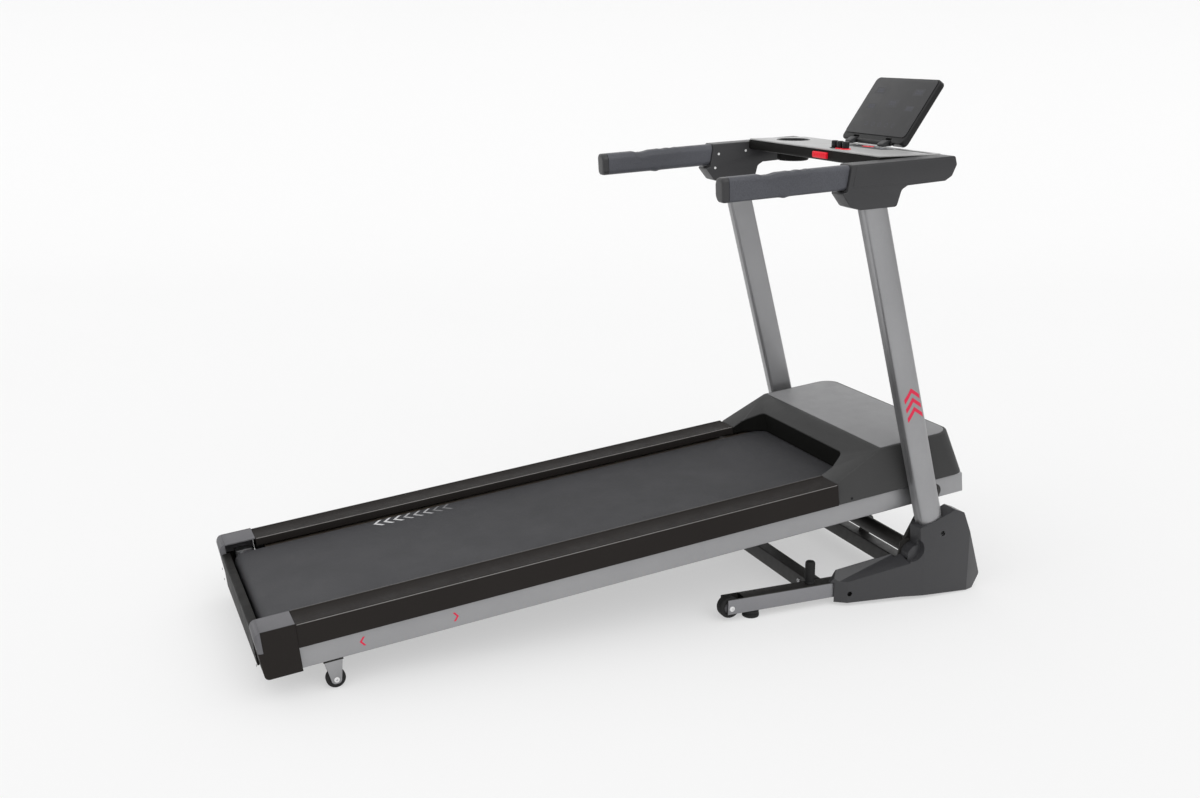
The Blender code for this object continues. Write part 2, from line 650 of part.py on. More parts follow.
def make_yoke():
    """The cross tube on the fold bolts, with the cradle of the lift motor and the lever of the damper."""
    cheek_in, cheek_out = 0.0330, 0.0380
    right = cylinder("lift_yoke", ((0.272 + cheek_in) / 2, 0, 0), 0.0175, 0.272 - cheek_in, "black_paint", deck_axis)
    left = cylinder("yoke_tube_left", (-(0.272 + cheek_in) / 2, 0, 0), 0.0175, 0.272 - cheek_in, parent=deck_axis)
    outline = round_corners(
        [(-0.0160, -0.0170), (0.0420, -0.0170), (0.0420, 0.0750), (-0.0160, 0.0750)],
        [0.012, 0.006, 0.006, 0.012], 3,
    )
    cheeks = [
        extrude(f"yoke_cheek_{side}", outline, "X", *span(sign, cheek_in, cheek_out), parent=deck_axis)
        for side, sign in sides()
    ]
    bridge = box("yoke_bridge", (-cheek_out, 0.0370, -0.0160), (cheek_out, 0.0420, 0.0700), parent=deck_axis)
    lever_outline = round_corners([(-0.046, -0.050), (0.014, -0.018), (0.010, 0.010), (-0.012, 0.012)],
                                  [0.010, 0.004, 0.004, 0.004], 4)
    lever = extrude("damper_lever", lever_outline, "X", -0.1080, -0.1020, parent=deck_axis)
    weld(right, cheeks[0], bridge, cheeks[1], left, lever)
    for side, sign in sides():
        cut(right, cylinder(f"yoke_bore_{side}", (sign * 0.270, 0, 0), 0.0084, 0.040, parent=deck_axis))
    cut(right, cylinder("motor_pivot_bore", (0, 0, MOTOR_PIVOT), 0.0063, 0.2, parent=deck_axis, sides=20))
    cut(right, cylinder("damper_bore", (-0.105, DAMPER_FOOT[0], DAMPER_FOOT[1]), 0.0053, 0.05, parent=deck_axis,
                        sides=20))


DAMPER_FOOT = (-0.0300, -0.0340)     # damper's pivot on the yoke's lever, in the deck's frame
DAMPER_HEAD = (-0.4200, -0.0120)     # damper's rod end under the deck
DAMPER_X = -0.1200
DAMPER_BODY = 0.235
DAMPER_ROD = 0.215


def make_lift_motor():
    """The lift motor hangs from the yoke, and its screw stands on the front crossbar's ear."""
    # The screw is upright at rest, so the motor's own frame is square to the floor.
    pitch = DECK_PITCH
    pivot_y = FOLD_Y - MOTOR_PIVOT * math.sin(pitch)
    pivot_z = FOLD_Z + MOTOR_PIVOT * math.cos(pitch)
    stroke = math.hypot(LIFT_FOOT_Y - pivot_y, LIFT_FOOT_Z - pivot_z)
    lean = math.atan2(LIFT_FOOT_Y - pivot_y, pivot_z - LIFT_FOOT_Z)
    axis = make_empty("lift_motor_axis", (0, pivot_y, pivot_z), origin, lean)
    motor = cylinder("lift_motor", (0.0850, 0, 0), 0.0290, 0.0900, "motor_shell", axis)
    gearbox = box("lift_gearbox", (-0.0260, -0.0260, -0.0300), (0.0290, 0.0260, 0.0300), parent=axis)
    pin = cylinder("lift_motor_pin", (0.0, 0, 0), 0.0060, 0.0860, parent=axis, sides=20)
    sleeve = cylinder("lift_sleeve", (0, 0, -0.0650), 0.0165, 0.1400, axis="Z", parent=axis)
    collar = cylinder("lift_collar", (0.0350, 0, 0), 0.0061, 0.0200, parent=axis, sides=20)
    weld(motor, gearbox, pin, sleeve, collar)
    cut(motor, cylinder("lift_sleeve_bore", (0, 0, -0.0900), 0.0126, 0.1100, axis="Z", parent=axis))
    screw = cylinder("lift_screw", (0, 0, -stroke + 0.0610), 0.0120, 0.1180, "steel", axis, axis="Z")
    eye = cylinder("lift_eye", (0, 0, -stroke), 0.0150, 0.0240, parent=axis)
    stub = cylinder("lift_stub", (0.0140, 0, -stroke), 0.0060, 0.0140, parent=axis, sides=20)
    weld(screw, eye, stub)


LIFT_FOOT_Y = 0.620


def make_damper():
    """The damper's body turns on the yoke's lever, and its rod reaches a bracket under the deck."""
    run = (DAMPER_HEAD[0] - DAMPER_FOOT[0], DAMPER_HEAD[1] - DAMPER_FOOT[1])
    length = math.hypot(*run)
    slope = math.atan2(-run[1], -run[0])
    axis = make_empty("damper_axis", (0, DAMPER_FOOT[0], DAMPER_FOOT[1]), deck_axis, slope)
    body = cylinder("damper_cylinder", (DAMPER_X, -0.016 - DAMPER_BODY / 2, 0), 0.0090, DAMPER_BODY, "motor_shell",
                    axis, axis="Y")
    foot = cylinder("damper_foot_eye", (DAMPER_X, 0, 0), 0.0080, 0.0160, parent=axis, sides=20)
    neck = cylinder("damper_neck", (DAMPER_X, -0.0120, 0), 0.0050, 0.0200, parent=axis, axis="Y", sides=20)
    stub = cylinder("damper_foot_pin", (DAMPER_X + 0.0135, 0, 0), 0.0050, 0.0170, parent=axis, sides=20)
    weld(body, foot, neck, stub)
    rod_bore = cylinder("damper_rod_bore", (DAMPER_X, -0.165, 0), 0.0053, 0.220, axis="Y", parent=axis, sides=20)
    cut(body, rod_bore)
    rod = cylinder("damper_rod", (DAMPER_X, -length + DAMPER_ROD / 2, 0), 0.0048, DAMPER_ROD, "steel", axis,
                   axis="Y", sides=20)
    head = cylinder("damper_head_eye", (DAMPER_X, -length, 0), 0.0080, 0.0160, parent=axis, sides=20)
    head_pin = cylinder("damper_head_pin", (DAMPER_X + 0.0100, -length, 0), 0.0045, 0.0140, parent=axis, sides=20)
    weld(rod, head, head_pin)


# --- Deck ---
def make_side_tubes():
    for side, sign in sides():
        x = span(sign, SIDE_IN, SIDE_OUT)
        tube = channel(f"side_tube_{side}", (x[0], SIDE_REAR, SIDE_BOTTOM), (x[1], SIDE_FRONT, SIDE_TOP),
                       "frame_paint", deck_axis)
        block_x = span(sign, SIDE_IN + 0.002, SIDE_OUT - 0.003)
        for name, u, reach in (("rear", REAR_ROLLER_U, 0.028), ("front", FRONT_ROLLER_U, 0.014)):
            block = box(
                f"roller_block_{name}_{side}",
                (block_x[0], u - 0.014, SIDE_TOP - 0.0010),
                (block_x[1], u + reach, 0.0500),
                parent=deck_axis,
            )
            weld(tube, block)
            cut(tube, cylinder(f"roller_hole_{name}_{side}", (sign * 0.285, u, ROLLER_V), 0.0077, 0.040,
                               parent=deck_axis))
        cut(tube, cylinder(f"fold_hole_{side}", (sign * 0.2885, 0, 0), 0.0085, 0.06, parent=deck_axis))


def make_crossmembers():
    half = SIDE_IN - GAP
    front = channel("front_crossmember", (-half, 0.0650, SIDE_BOTTOM + GAP), (half, 0.0895, SIDE_TOP - GAP),
                    "black_paint", deck_axis, along="X")
    tray = box("motor_tray", (-half, -0.1000, 0.0203), (half, 0.0660, 0.0224), parent=deck_axis)
    tray_hole = box("tray_opening", (-0.0450, -0.1200, 0.0), (0.1380, 0.0600, 0.06), parent=deck_axis)
    belt_slot = box("belt_slot", (-0.2665, -0.1200, 0.0), (-0.2365, -0.0450, 0.06), parent=deck_axis)
    weld(front, tray)
    cut(front, tray_hole, belt_slot)
    mid = channel("mid_crossmember", (-half, -0.4700, -0.0240), (half, -0.4400, 0.0125), "black_paint", deck_axis,
                  along="X")
    head = extrude(
        "damper_bracket",
        round_corners([(-0.4450, -0.0300), (-0.4080, -0.0230), (-0.4080, 0.0040), (-0.4450, 0.0100)], 0.004, 3),
        "X", -0.1020, -0.0970, parent=deck_axis,
    )
    weld(mid, head)
    rear = channel("rear_crossmember", (-half, -1.5670, -0.0240), (half, -1.5370, 0.0125), "black_paint", deck_axis,
                   along="X")
    for side, sign in sides():
        fork = []
        top = box(
            f"fork_top_{side}",
            (span(sign, 0.2600, 0.3030)[0], WHEEL_U - 0.022, SIDE_BOTTOM - 0.0035),
            (span(sign, 0.2600, 0.3030)[1], WHEEL_U + 0.022, SIDE_BOTTOM - GAP),
            parent=deck_axis,
        )
        riser = box(
            f"fork_riser_{side}",
            (span(sign, 0.2600, 0.2728)[0], WHEEL_U - 0.012, SIDE_BOTTOM - 0.0030),
            (span(sign, 0.2600, 0.2728)[1], WHEEL_U + 0.012, 0.0),
            parent=deck_axis,
        )
        fork_line = round_corners(
            [(WHEEL_U - 0.020, SIDE_BOTTOM - 0.002), (WHEEL_U - 0.010, WHEEL_V - 0.010),
             (WHEEL_U + 0.010, WHEEL_V - 0.010), (WHEEL_U + 0.020, SIDE_BOTTOM - 0.002)],
            [0.0, 0.009, 0.009, 0.0], 4,
        )
        for name, inner in (("in", 0.2720), ("out", 0.3000)):
            fork.append(extrude(f"fork_{name}_{side}", fork_line, "X", *span(sign, inner, inner + 0.0030),
                                parent=deck_axis))
        weld(rear, riser, top, *fork)
        cut(rear, cylinder(f"fork_hole_{side}", (sign * WHEEL_X, WHEEL_U, WHEEL_V), 0.0043, 0.06, parent=deck_axis,
                           sides=20))
        spindle(
            f"deck_wheel_{side}",
            [(-0.0160, 0.0040), (-0.0110, 0.0040), (-0.0110, 0.0080), (-0.0105, 0.0190), (-0.0085, WHEEL_R),
             (0.0085, WHEEL_R), (0.0105, 0.0190), (0.0110, 0.0080), (0.0110, 0.0040), (0.0160, 0.0040)],
            "black_rubber",
            deck_axis,
        ).location = (sign * WHEEL_X, WHEEL_U, WHEEL_V)


def make_belt_drive():
    rear, front = (REAR_ROLLER_U, ROLLER_V), (FRONT_ROLLER_U, ROLLER_V)
    extrude(
        "running_belt",
        [belt_line(rear, BELT_OUT, front, BELT_OUT), belt_line(rear, BELT_IN, front, BELT_IN)],
        "X", -BELT_HALF, BELT_HALF, "belt_rubber", deck_axis,
    )
    box("deck_board", (-0.2650, -1.6000, 0.0430), (0.2650, -0.1900, 0.0605), "board_wood", deck_axis)
    spindle(
        "rear_roller",
        [(-0.2905, 0.0072), (-0.2320, 0.0072), (-0.2320, 0.0205), (-0.2200, ROLLER_R), (0.2200, ROLLER_R),
         (0.2320, 0.0205), (0.2320, 0.0072), (0.2905, 0.0072)],
        "steel", deck_axis,
    ).location = (0, *rear)
    spindle(
        "front_roller",
        [(-0.2905, 0.0072), (-0.2640, 0.0072), (-0.2640, 0.0295), (-0.2620, 0.0295), (-0.2610, PULLEY_R),
         (-0.2420, PULLEY_R), (-0.2410, 0.0295), (-0.2390, 0.0295), (-0.2390, 0.0205), (-0.2320, ROLLER_R),
         (0.2320, ROLLER_R), (0.2320, 0.0072), (0.2905, 0.0072)],
        "steel", deck_axis,
    ).location = (0, *front)
    motor = cylinder("drive_motor", (-0.1375, MOTOR_U, MOTOR_V), MOTOR_R, 0.1550, "motor_shell", deck_axis, sides=28)
    foot = box("drive_motor_foot", (-0.1950, MOTOR_U - 0.030, 0.0228), (-0.0750, MOTOR_U + 0.030, 0.0450),
               parent=deck_axis)
    weld(motor, foot)
    cut(motor, cylinder("shaft_bore", (-0.2100, MOTOR_U, MOTOR_V), 0.0066, 0.040, parent=deck_axis, sides=20))
    spindle(
        "motor_pulley",
        [(-0.2640, 0.0140), (-0.2620, 0.0140), (-0.2610, MOTOR_PULLEY_R), (-0.2420, MOTOR_PULLEY_R),
         (-0.2410, 0.0140), (-0.2390, 0.0140), (-0.2390, 0.0060), (-0.1950, 0.0060)],
        "steel", deck_axis,
    ).location = (0, MOTOR_U, MOTOR_V)
    shaft = (MOTOR_U, MOTOR_V)
    extrude(
        "drive_belt",
        [belt_line(front, PULLEY_R + 0.0024, shaft, MOTOR_PULLEY_R + 0.0024),
         belt_line(front, PULLEY_R + 0.0004, shaft, MOTOR_PULLEY_R + 0.0004)],
        "X", -0.2600, -0.2430, "black_rubber", deck_axis,
    )
    board = box("control_board", (0.1600, -0.0850, 0.0300), (0.2580, 0.0400, 0.0325), "circuit", deck_axis)
    sink = box("heat_sink", (0.1700, -0.0500, 0.0320), (0.2100, 0.0200, 0.0560), parent=deck_axis)
    coil = box("coil", (0.2200, -0.0650, 0.0320), (0.2480, -0.0350, 0.0500), parent=deck_axis)
    post = box("board_post", (0.1800, -0.0300, 0.0229), (0.2300, 0.0000, 0.0310), parent=deck_axis)
    weld(board, sink, coil, post)


def make_rails_and_caps():
    sheet = 0.0025
    for side, sign in sides():
        line = [
            (RAIL_IN, 0.0660), (RAIL_IN + sheet, 0.0660), (RAIL_IN + sheet, RAIL_TOP - sheet),
            (RAIL_OUT - sheet, RAIL_TOP - sheet), (RAIL_OUT - sheet, RAIL_BOTTOM), (RAIL_OUT, RAIL_BOTTOM),
            (RAIL_OUT, RAIL_TOP), (RAIL_IN, RAIL_TOP),
        ]
        line = round_corners(line, [0.0, 0.0, 0.0, 0.0, 0.0, 0.0, 0.003, 0.003], 2)
        line = [(sign * x, v) for x, v in line]
        if sign < 0:
            line.reverse()
        extrude(f"foot_rail_{side}", line, "Y", RAIL_REAR + GAP, RAIL_FRONT - GAP, "rail_plastic", deck_axis)
        cap_line = round_corners(
            [(CAP_REAR + 0.010, SIDE_BOTTOM + 0.001), (RAIL_REAR, SIDE_BOTTOM + 0.001), (RAIL_REAR, RAIL_TOP + 0.001),
             (CAP_REAR, RAIL_TOP + 0.001)],
            [0.010, 0.0, 0.0, 0.014], 4,
        )
        cap = extrude(f"rear_cap_{side}", cap_line, "X", *span(sign, RAIL_IN + 0.004, RAIL_OUT + 0.001),
                      "cap_plastic", deck_axis)
        room = box(
            f"cap_room_{side}",
            (span(sign, 0.0, RAIL_OUT - 0.002)[0], CAP_REAR + 0.016, -0.1),
            (span(sign, 0.0, RAIL_OUT - 0.002)[1], 0.0, RAIL_TOP - 0.002),
            parent=deck_axis,
        )
        cut(cap, room)
    cover_line = round_corners(
        [(-1.7060, SIDE_BOTTOM + 0.004), (-1.7010, SIDE_BOTTOM + 0.004), (-1.7010, 0.0600), (-1.6860, 0.0600),
         (-1.6860, 0.0640), (-1.7060, 0.0640)],
        [0.001, 0.0, 0.0, 0.001, 0.0, 0.004], 2,
    )
    extrude("rear_cover", cover_line, "X", -(RAIL_IN + 0.0034), RAIL_IN + 0.0034, "rail_plastic", deck_axis)


def make_hood():
    foot_u, foot_v = RAIL_FRONT, RAIL_TOP
    low = RAIL_BOTTOM
    front_low = SIDE_FRONT + 0.001
    rim = [(foot_u, low), (front_low, low), (HOOD_TOP_FRONT_U, HOOD_CREASE_V), (HOOD_CREASE_U, HOOD_CREASE_V),
           (foot_u, foot_v)]
    rim = round_corners(rim, [0.0, 0.004, 0.012, 0.010, 0.0], 3)

    def shaped(name, outline, half_low, half_high, material):
        """The outline across the deck, with its side walls leaning in towards the top."""
        obj = extrude(name, outline, "X", -half_low, half_low, material, deck_axis)
        for vertex in obj.data.vertices:
            rise = (vertex.co.z - low) / (HOOD_CREASE_V - low)
            half = half_low + (half_high - half_low) * rise
            vertex.co.x = math.copysign(half, vertex.co.x)
        return obj

    hood = shaped("motor_hood", rim, HOOD_BOTTOM_HALF, HOOD_TOP_HALF, "hood_plastic")
    t = HOOD_WALL
    inner = [(foot_u - 0.02, low - 0.02), (front_low - t, low - 0.02), (HOOD_TOP_FRONT_U - t, HOOD_CREASE_V - t),
             (HOOD_CREASE_U + 0.001, HOOD_CREASE_V - t), (foot_u - 0.001, foot_v - t)]
    hollow = shaped("hood_hollow", inner, HOOD_BOTTOM_HALF - t, HOOD_TOP_HALF - t, None)
    floor_plan = [
        (-RAIL_IN, foot_u - 0.05), (RAIL_IN, foot_u - 0.05), (RAIL_IN, -0.250), (0.205, RECESS_U),
        (-0.205, RECESS_U), (-RAIL_IN, -0.250),
    ]
    outer_recess = extrude("recess_wall", round_corners(
        [(-RAIL_IN - t, foot_u + 0.0), (RAIL_IN + t, foot_u + 0.0), (RAIL_IN + t, -0.248), (0.207, RECESS_U + t),
         (-0.207, RECESS_U + t), (-RAIL_IN - t, -0.248)], [0, 0, 0.03, 0.03, 0.03, 0.03], 4),
        "Z", 0.0660, 0.140, parent=deck_axis)
    recess = extrude("belt_recess", round_corners(floor_plan, [0, 0, 0.03, 0.03, 0.03, 0.03], 4), "Z", 0.0, 0.3,
                     parent=deck_axis)
    above = extrude("above_slope", [(foot_u - 0.05, foot_v), (foot_u, foot_v), (HOOD_CREASE_U, HOOD_CREASE_V),
                                    (HOOD_CREASE_U, 0.25), (foot_u - 0.05, 0.25)],
                    "X", -0.4, 0.4, parent=deck_axis)
    cut(hood, hollow)
    cut(outer_recess, above)
    weld(hood, outer_recess)
    cut(hood, recess)


def make_deck():
    make_side_tubes()
    make_crossmembers()
    make_belt_drive()
    make_rails_and_caps()
    make_hood()


make_base()
make_uprights()
make_handlebars()
make_console()
make_display()
make_lift()
make_lift_motor()
make_damper()
make_deck()
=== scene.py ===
"""Looks of the folding treadmill: materials, rounded and detailed pieces, floor, light and camera.

Every piece is built in metres in the model's own frame, so each object sits at the origin. Pieces on the
deck are laid out in the deck's frame: U along the deck, V square to the belt, from the fold bolts.
"""
import json
import math

import bmesh
import bpy
from mathutils import Matrix, Vector

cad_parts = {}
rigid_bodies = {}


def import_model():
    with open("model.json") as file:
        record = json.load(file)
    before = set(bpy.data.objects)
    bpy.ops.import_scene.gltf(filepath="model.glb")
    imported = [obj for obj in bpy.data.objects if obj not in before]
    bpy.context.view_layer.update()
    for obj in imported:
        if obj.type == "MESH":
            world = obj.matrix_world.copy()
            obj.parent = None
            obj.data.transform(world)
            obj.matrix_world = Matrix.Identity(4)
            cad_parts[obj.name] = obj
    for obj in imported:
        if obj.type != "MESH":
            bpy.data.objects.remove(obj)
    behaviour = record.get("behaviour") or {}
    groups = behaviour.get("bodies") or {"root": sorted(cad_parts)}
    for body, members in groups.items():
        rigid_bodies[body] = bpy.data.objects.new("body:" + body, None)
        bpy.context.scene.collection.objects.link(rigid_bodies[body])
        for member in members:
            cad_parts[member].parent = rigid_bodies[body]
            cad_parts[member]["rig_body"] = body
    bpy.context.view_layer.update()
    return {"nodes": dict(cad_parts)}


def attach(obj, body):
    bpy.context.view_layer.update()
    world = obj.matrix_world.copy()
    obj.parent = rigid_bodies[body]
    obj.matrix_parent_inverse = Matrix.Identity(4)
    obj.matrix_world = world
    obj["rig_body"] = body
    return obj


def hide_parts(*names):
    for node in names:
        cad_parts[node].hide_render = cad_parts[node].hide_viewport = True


for old in list(bpy.data.objects):
    bpy.data.objects.remove(old, do_unlink=True)
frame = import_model()
nodes = frame["nodes"]

# --- Dimensions repeated from the model (metres) ---
SHIFT = 0.1708                       # the model's Y datum, from the middle of its box
DECK_PITCH = math.radians(6.2)
FOLD_Y, FOLD_Z = 0.62, 0.262        # bolt between the lift arms and the deck
LIFT_Y, LIFT_Z = 0.549, 0.122        # cross tube that the lift arms turn on
DECK_ORIGIN = Vector((0.0, FOLD_Y + SHIFT, FOLD_Z))
DECK = Matrix.Translation(DECK_ORIGIN) @ Matrix.Rotation(DECK_PITCH, 4, "X")
RAIL_IN = 0.237
RAIL_REAR, RAIL_FRONT = -1.62, -0.2825
RAIL_TOP = 0.0856
CAP_REAR = -1.71
SIDE_OUT = 0.3035
ROLLER_V, REAR_ROLLER_U, FRONT_ROLLER_U = 0.0386, -1.655, -0.135
BELT_HALF, BELT_IN, BELT_OUT = 0.225, 0.0226, 0.0248
BELT_TOP = ROLLER_V + BELT_OUT
HOOD_CREASE_U, HOOD_TOP_V, HOOD_TOP_FRONT_U, HOOD_FRONT_U = -0.1445, 0.1424, 0.074, 0.0916
HOOD_BOTTOM_HALF, HOOD_TOP_HALF = 0.3165, 0.295
RECESS_U = -0.2
WHEEL_X, WHEEL_U, WHEEL_V, WHEEL_R = 0.2885, -1.552, -0.0726, 0.022
CASTOR_X, CASTOR_Y, CASTOR_Z, CASTOR_R = 0.297, 0.045 + SHIFT, 0.0345, 0.027
UPRIGHT_IN, UPRIGHT_OUT, UPRIGHT_DEPTH = 0.3235, 0.3665, 0.062
UPRIGHT_Y0, UPRIGHT_LEAN = 0.64 + SHIFT, math.radians(15.1)
GRIP_TILT = math.radians(3.0)
GRIP_REAR, GRIP_Z = -0.03 + SHIFT, 1.05
GRIP_OUT, GRIP_WIDTH, GRIP_HEIGHT = 0.3635, 0.041, 0.056
ARMCAP_IN, ARMCAP_OUT = 0.3175, 0.372
CONSOLE_REAR, CONSOLE_FRONT, CONSOLE_TOP = 0.4 + SHIFT, 0.575 + SHIFT, 1.11
CUP_X, CUP_Y = -0.225, 0.485 + SHIFT
DISPLAY_AXIS = Vector((0.0, 0.584 + SHIFT, 1.1165))
DISPLAY_LEAN = math.radians(34.6)
DISPLAY = Matrix.Translation(DISPLAY_AXIS) @ Matrix.Rotation(-DISPLAY_LEAN, 4, "X")
DISPLAY_HALF, DISPLAY_TALL = 0.14, 0.19
WORLD = Matrix.Identity(4)
SIDES = (("right", 1), ("left", -1))


# --- Materials ---
class Surface:
    """A procedural material: a colour that varies, a roughness that varies and a fine relief."""

    def __init__(self, name, colour, roughness, metallic=0.0, specular=0.5):
        self.material = bpy.data.materials.new(name)
        self.material.use_nodes = True
        self.tree = self.material.node_tree
        self.shader = self.tree.nodes["Principled BSDF"]
        self.shader.inputs["Metallic"].default_value = metallic
        self.shader.inputs["Specular IOR Level"].default_value = specular
        self.shader.inputs["Roughness"].default_value = roughness
        self.place = self.add("ShaderNodeTexCoord").outputs["Object"]
        self.colour = colour
        self.roughness = roughness
        self.tone = None
        self.height = None

    def add(self, kind, **settings):
        node = self.tree.nodes.new(kind)
        for key, value in settings.items():
            setattr(node, key, value)
        return node

    def link(self, output, socket):
        self.tree.links.new(output, socket)

    def stretched(self, scale):
        mapping = self.add("ShaderNodeMapping")
        mapping.inputs["Scale"].default_value = scale
        self.link(self.place, mapping.inputs["Vector"])
        return mapping.outputs["Vector"]

    def noise(self, scale, detail=4.0, rough=0.55, stretch=None):
        node = self.add("ShaderNodeTexNoise")
        node.inputs["Scale"].default_value = scale
        node.inputs["Detail"].default_value = detail
        node.inputs["Roughness"].default_value = rough
        self.link(self.stretched(stretch) if stretch else self.place, node.inputs["Vector"])
        return node.outputs["Fac"]

    def cells(self, scale, stretch=None):
        node = self.add("ShaderNodeTexVoronoi")
        node.inputs["Scale"].default_value = scale
        self.link(self.stretched(stretch) if stretch else self.place, node.inputs["Vector"])
        return node.outputs["Distance"]

    def waves(self, scale, direction, distortion=0.0):
        node = self.add("ShaderNodeTexWave", bands_direction=direction)
        node.inputs["Scale"].default_value = scale
        node.inputs["Distortion"].default_value = distortion
        self.link(self.place, node.inputs["Vector"])
        return node.outputs["Fac"]

    def along(self, axis):
        node = self.add("ShaderNodeSeparateXYZ")
        self.link(self.place, node.inputs["Vector"])
        return node.outputs[axis]

    def ranged(self, value, low, high, start=0.3, end=0.7):
        node = self.add("ShaderNodeMapRange")
        self.link(value, node.inputs["Value"])
        for socket, number in (("From Min", start), ("From Max", end), ("To Min", low), ("To Max", high)):
            node.inputs[socket].default_value = number
        return node.outputs["Result"]

    def combined(self, first, second, operation="MULTIPLY"):
        node = self.add("ShaderNodeMath", operation=operation)
        self.link(first, node.inputs[0])
        self.link(second, node.inputs[1])
        return node.outputs["Value"]

    def vary(self, value, low, high, start=0.3, end=0.7):
        """The colour's brightness follows value, from low to high times the colour."""
        factor = self.ranged(value, low, high, start, end)
        self.tone = factor if self.tone is None else self.combined(self.tone, factor)
        return self

    def edge_wear_and_highlight(self, amount):
        """Convex edges are a little lighter: partly handling wear, partly a painted highlight where rounded edges
        catch the light.
        """
        point = self.add("ShaderNodeNewGeometry").outputs["Pointiness"]
        return self.vary(point, 1.0, 1.0 + amount, 0.505, 0.56)

    def gloss(self, value, spread, start=0.3, end=0.7):
        result = self.ranged(value, self.roughness - spread, self.roughness + spread, start, end)
        self.link(result, self.shader.inputs["Roughness"])
        return self

    def relief(self, value, depth):
        node = self.add("ShaderNodeBump")
        node.inputs["Distance"].default_value = depth
        node.inputs["Strength"].default_value = 1.0
        self.link(value, node.inputs["Height"])
        if self.height is not None:
            self.link(self.height, node.inputs["Normal"])
        self.height = node.outputs["Normal"]
        return self

    def done(self):
        if self.tone is None:
            self.shader.inputs["Base Color"].default_value = (*self.colour, 1.0)
        else:
            scaled = self.add("ShaderNodeVectorMath", operation="SCALE")
            scaled.inputs[0].default_value = self.colour
            self.link(self.tone, scaled.inputs["Scale"])
            self.link(scaled.outputs["Vector"], self.shader.inputs["Base Color"])
        if self.height is not None:
            self.link(self.height, self.shader.inputs["Normal"])
        return self.material


def painted(name, colour, roughness, metallic, flake=0.1):
    """Powder-coated steel: fine flakes and a slight orange peel."""
    s = Surface(name, colour, roughness, metallic)
    s.vary(s.noise(1400.0, 2.0), 1.0 - flake, 1.0 + flake)
    s.vary(s.noise(5.0, 3.0), 0.95, 1.05)
    s.edge_wear_and_highlight(0.25)
    s.gloss(s.noise(60.0), 0.05)
    s.relief(s.noise(420.0, 3.0), 0.00006)
    return s.done()


def moulded(name, colour, roughness, grain=900.0, depth=0.00012, edge_wear_and_highlight=0.35, specular=0.5):
    """Moulded plastic with a spark-eroded grain."""
    s = Surface(name, colour, roughness, 0.0, specular)
    s.vary(s.noise(grain * 1.3, 2.0), 0.9, 1.1)
    s.vary(s.noise(3.5, 3.0), 0.94, 1.06)
    # Lighter convex edges: partly wear, partly a painted highlight along the edges.
    if edge_wear_and_highlight:
        s.edge_wear_and_highlight(edge_wear_and_highlight)
    s.gloss(s.noise(25.0), 0.05)
    s.relief(s.noise(grain, 3.0), depth)
    s.relief(s.cells(grain * 0.8), depth * 0.7)
    return s.done()


def make_belt_surface():
    """Running belt: a fine cross-woven emboss; paler at the rear and darker towards the front, a painted shade from
    the motor hood.
    """
    s = Surface("belt_weave", (0.056, 0.056, 0.06), 0.6, 0.0, 0.16)
    weave = s.combined(s.waves(330.0, "X"), s.waves(330.0, "Y"))
    s.vary(weave, 0.86, 1.12, 0.0, 0.7)
    s.vary(s.noise(2.6, 4.0), 0.93, 1.09)
    # Darker towards the front: painted shade near the motor hood.
    s.vary(s.along("Y"), 1.1, 0.8, -0.8, 0.55)
    s.vary(s.noise(700.0, 2.0), 0.94, 1.06)
    s.gloss(s.noise(9.0), 0.06)
    s.relief(weave, 0.00022)
    s.relief(s.noise(900.0, 2.0), 0.00008)
    return s.done()


def make_foam_surface():
    """Grip sleeve: soft pebbled skin."""
    s = Surface("grip_skin", (0.058, 0.06, 0.07), 0.48, 0.0, 0.4)
    s.vary(s.cells(380.0), 0.82, 1.1, 0.1, 0.6)
    s.vary(s.noise(7.0, 4.0), 0.92, 1.08)
    s.edge_wear_and_highlight(0.2)
    s.gloss(s.noise(40.0), 0.07)
    s.relief(s.cells(380.0), 0.0003)
    s.relief(s.noise(1200.0, 2.0), 0.00008)
    return s.done()


def make_steel_surface(name, colour, roughness, stretch):
    """Turned or drawn steel: fine lines one way."""
    s = Surface(name, colour, roughness, 1.0)
    lines = s.noise(160.0, 3.0, stretch=stretch)
    s.vary(lines, 0.88, 1.08)
    s.gloss(lines, 0.07)
    s.relief(lines, 0.00004)
    return s.done()


def make_wood_surface():
    s = Surface("deck_laminate", (0.05, 0.04, 0.03), 0.45)
    grain = s.noise(9.0, 6.0, stretch=(14.0, 1.0, 14.0))
    s.vary(grain, 0.75, 1.25)
    s.gloss(grain, 0.05)
    s.relief(grain, 0.00008)
    return s.done()


def make_circuit_surface():
    s = Surface("circuit_green", (0.015, 0.13, 0.05), 0.38)
    tracks = s.cells(120.0)
    s.vary(tracks, 0.7, 1.4, 0.1, 0.5)
    s.gloss(s.noise(80.0), 0.06)
    s.relief(tracks, 0.0001)
    return s.done()


def make_floor_surface():
    s = Surface("studio_floor", (0.42, 0.42, 0.42), 0.8, 0.0, 0.0)
    s.vary(s.noise(0.8, 2.0), 0.996, 1.004)
    glow = s.ranged(s.along("Z"), 0.48, 0.505, 0.0, 1.3)
    s.link(glow, s.shader.inputs["Emission Strength"])
    s.shader.inputs["Emission Color"].default_value = (1.0, 1.0, 1.0, 1.0)
    return s.done()


def plain_print(name, colour, roughness=0.5):
    """Printed or soft-moulded marks."""
    s = Surface(name, colour, roughness)
    s.vary(s.noise(900.0, 2.0), 0.93, 1.05)
    s.relief(s.noise(1200.0, 2.0), 0.00003)
    return s.done()


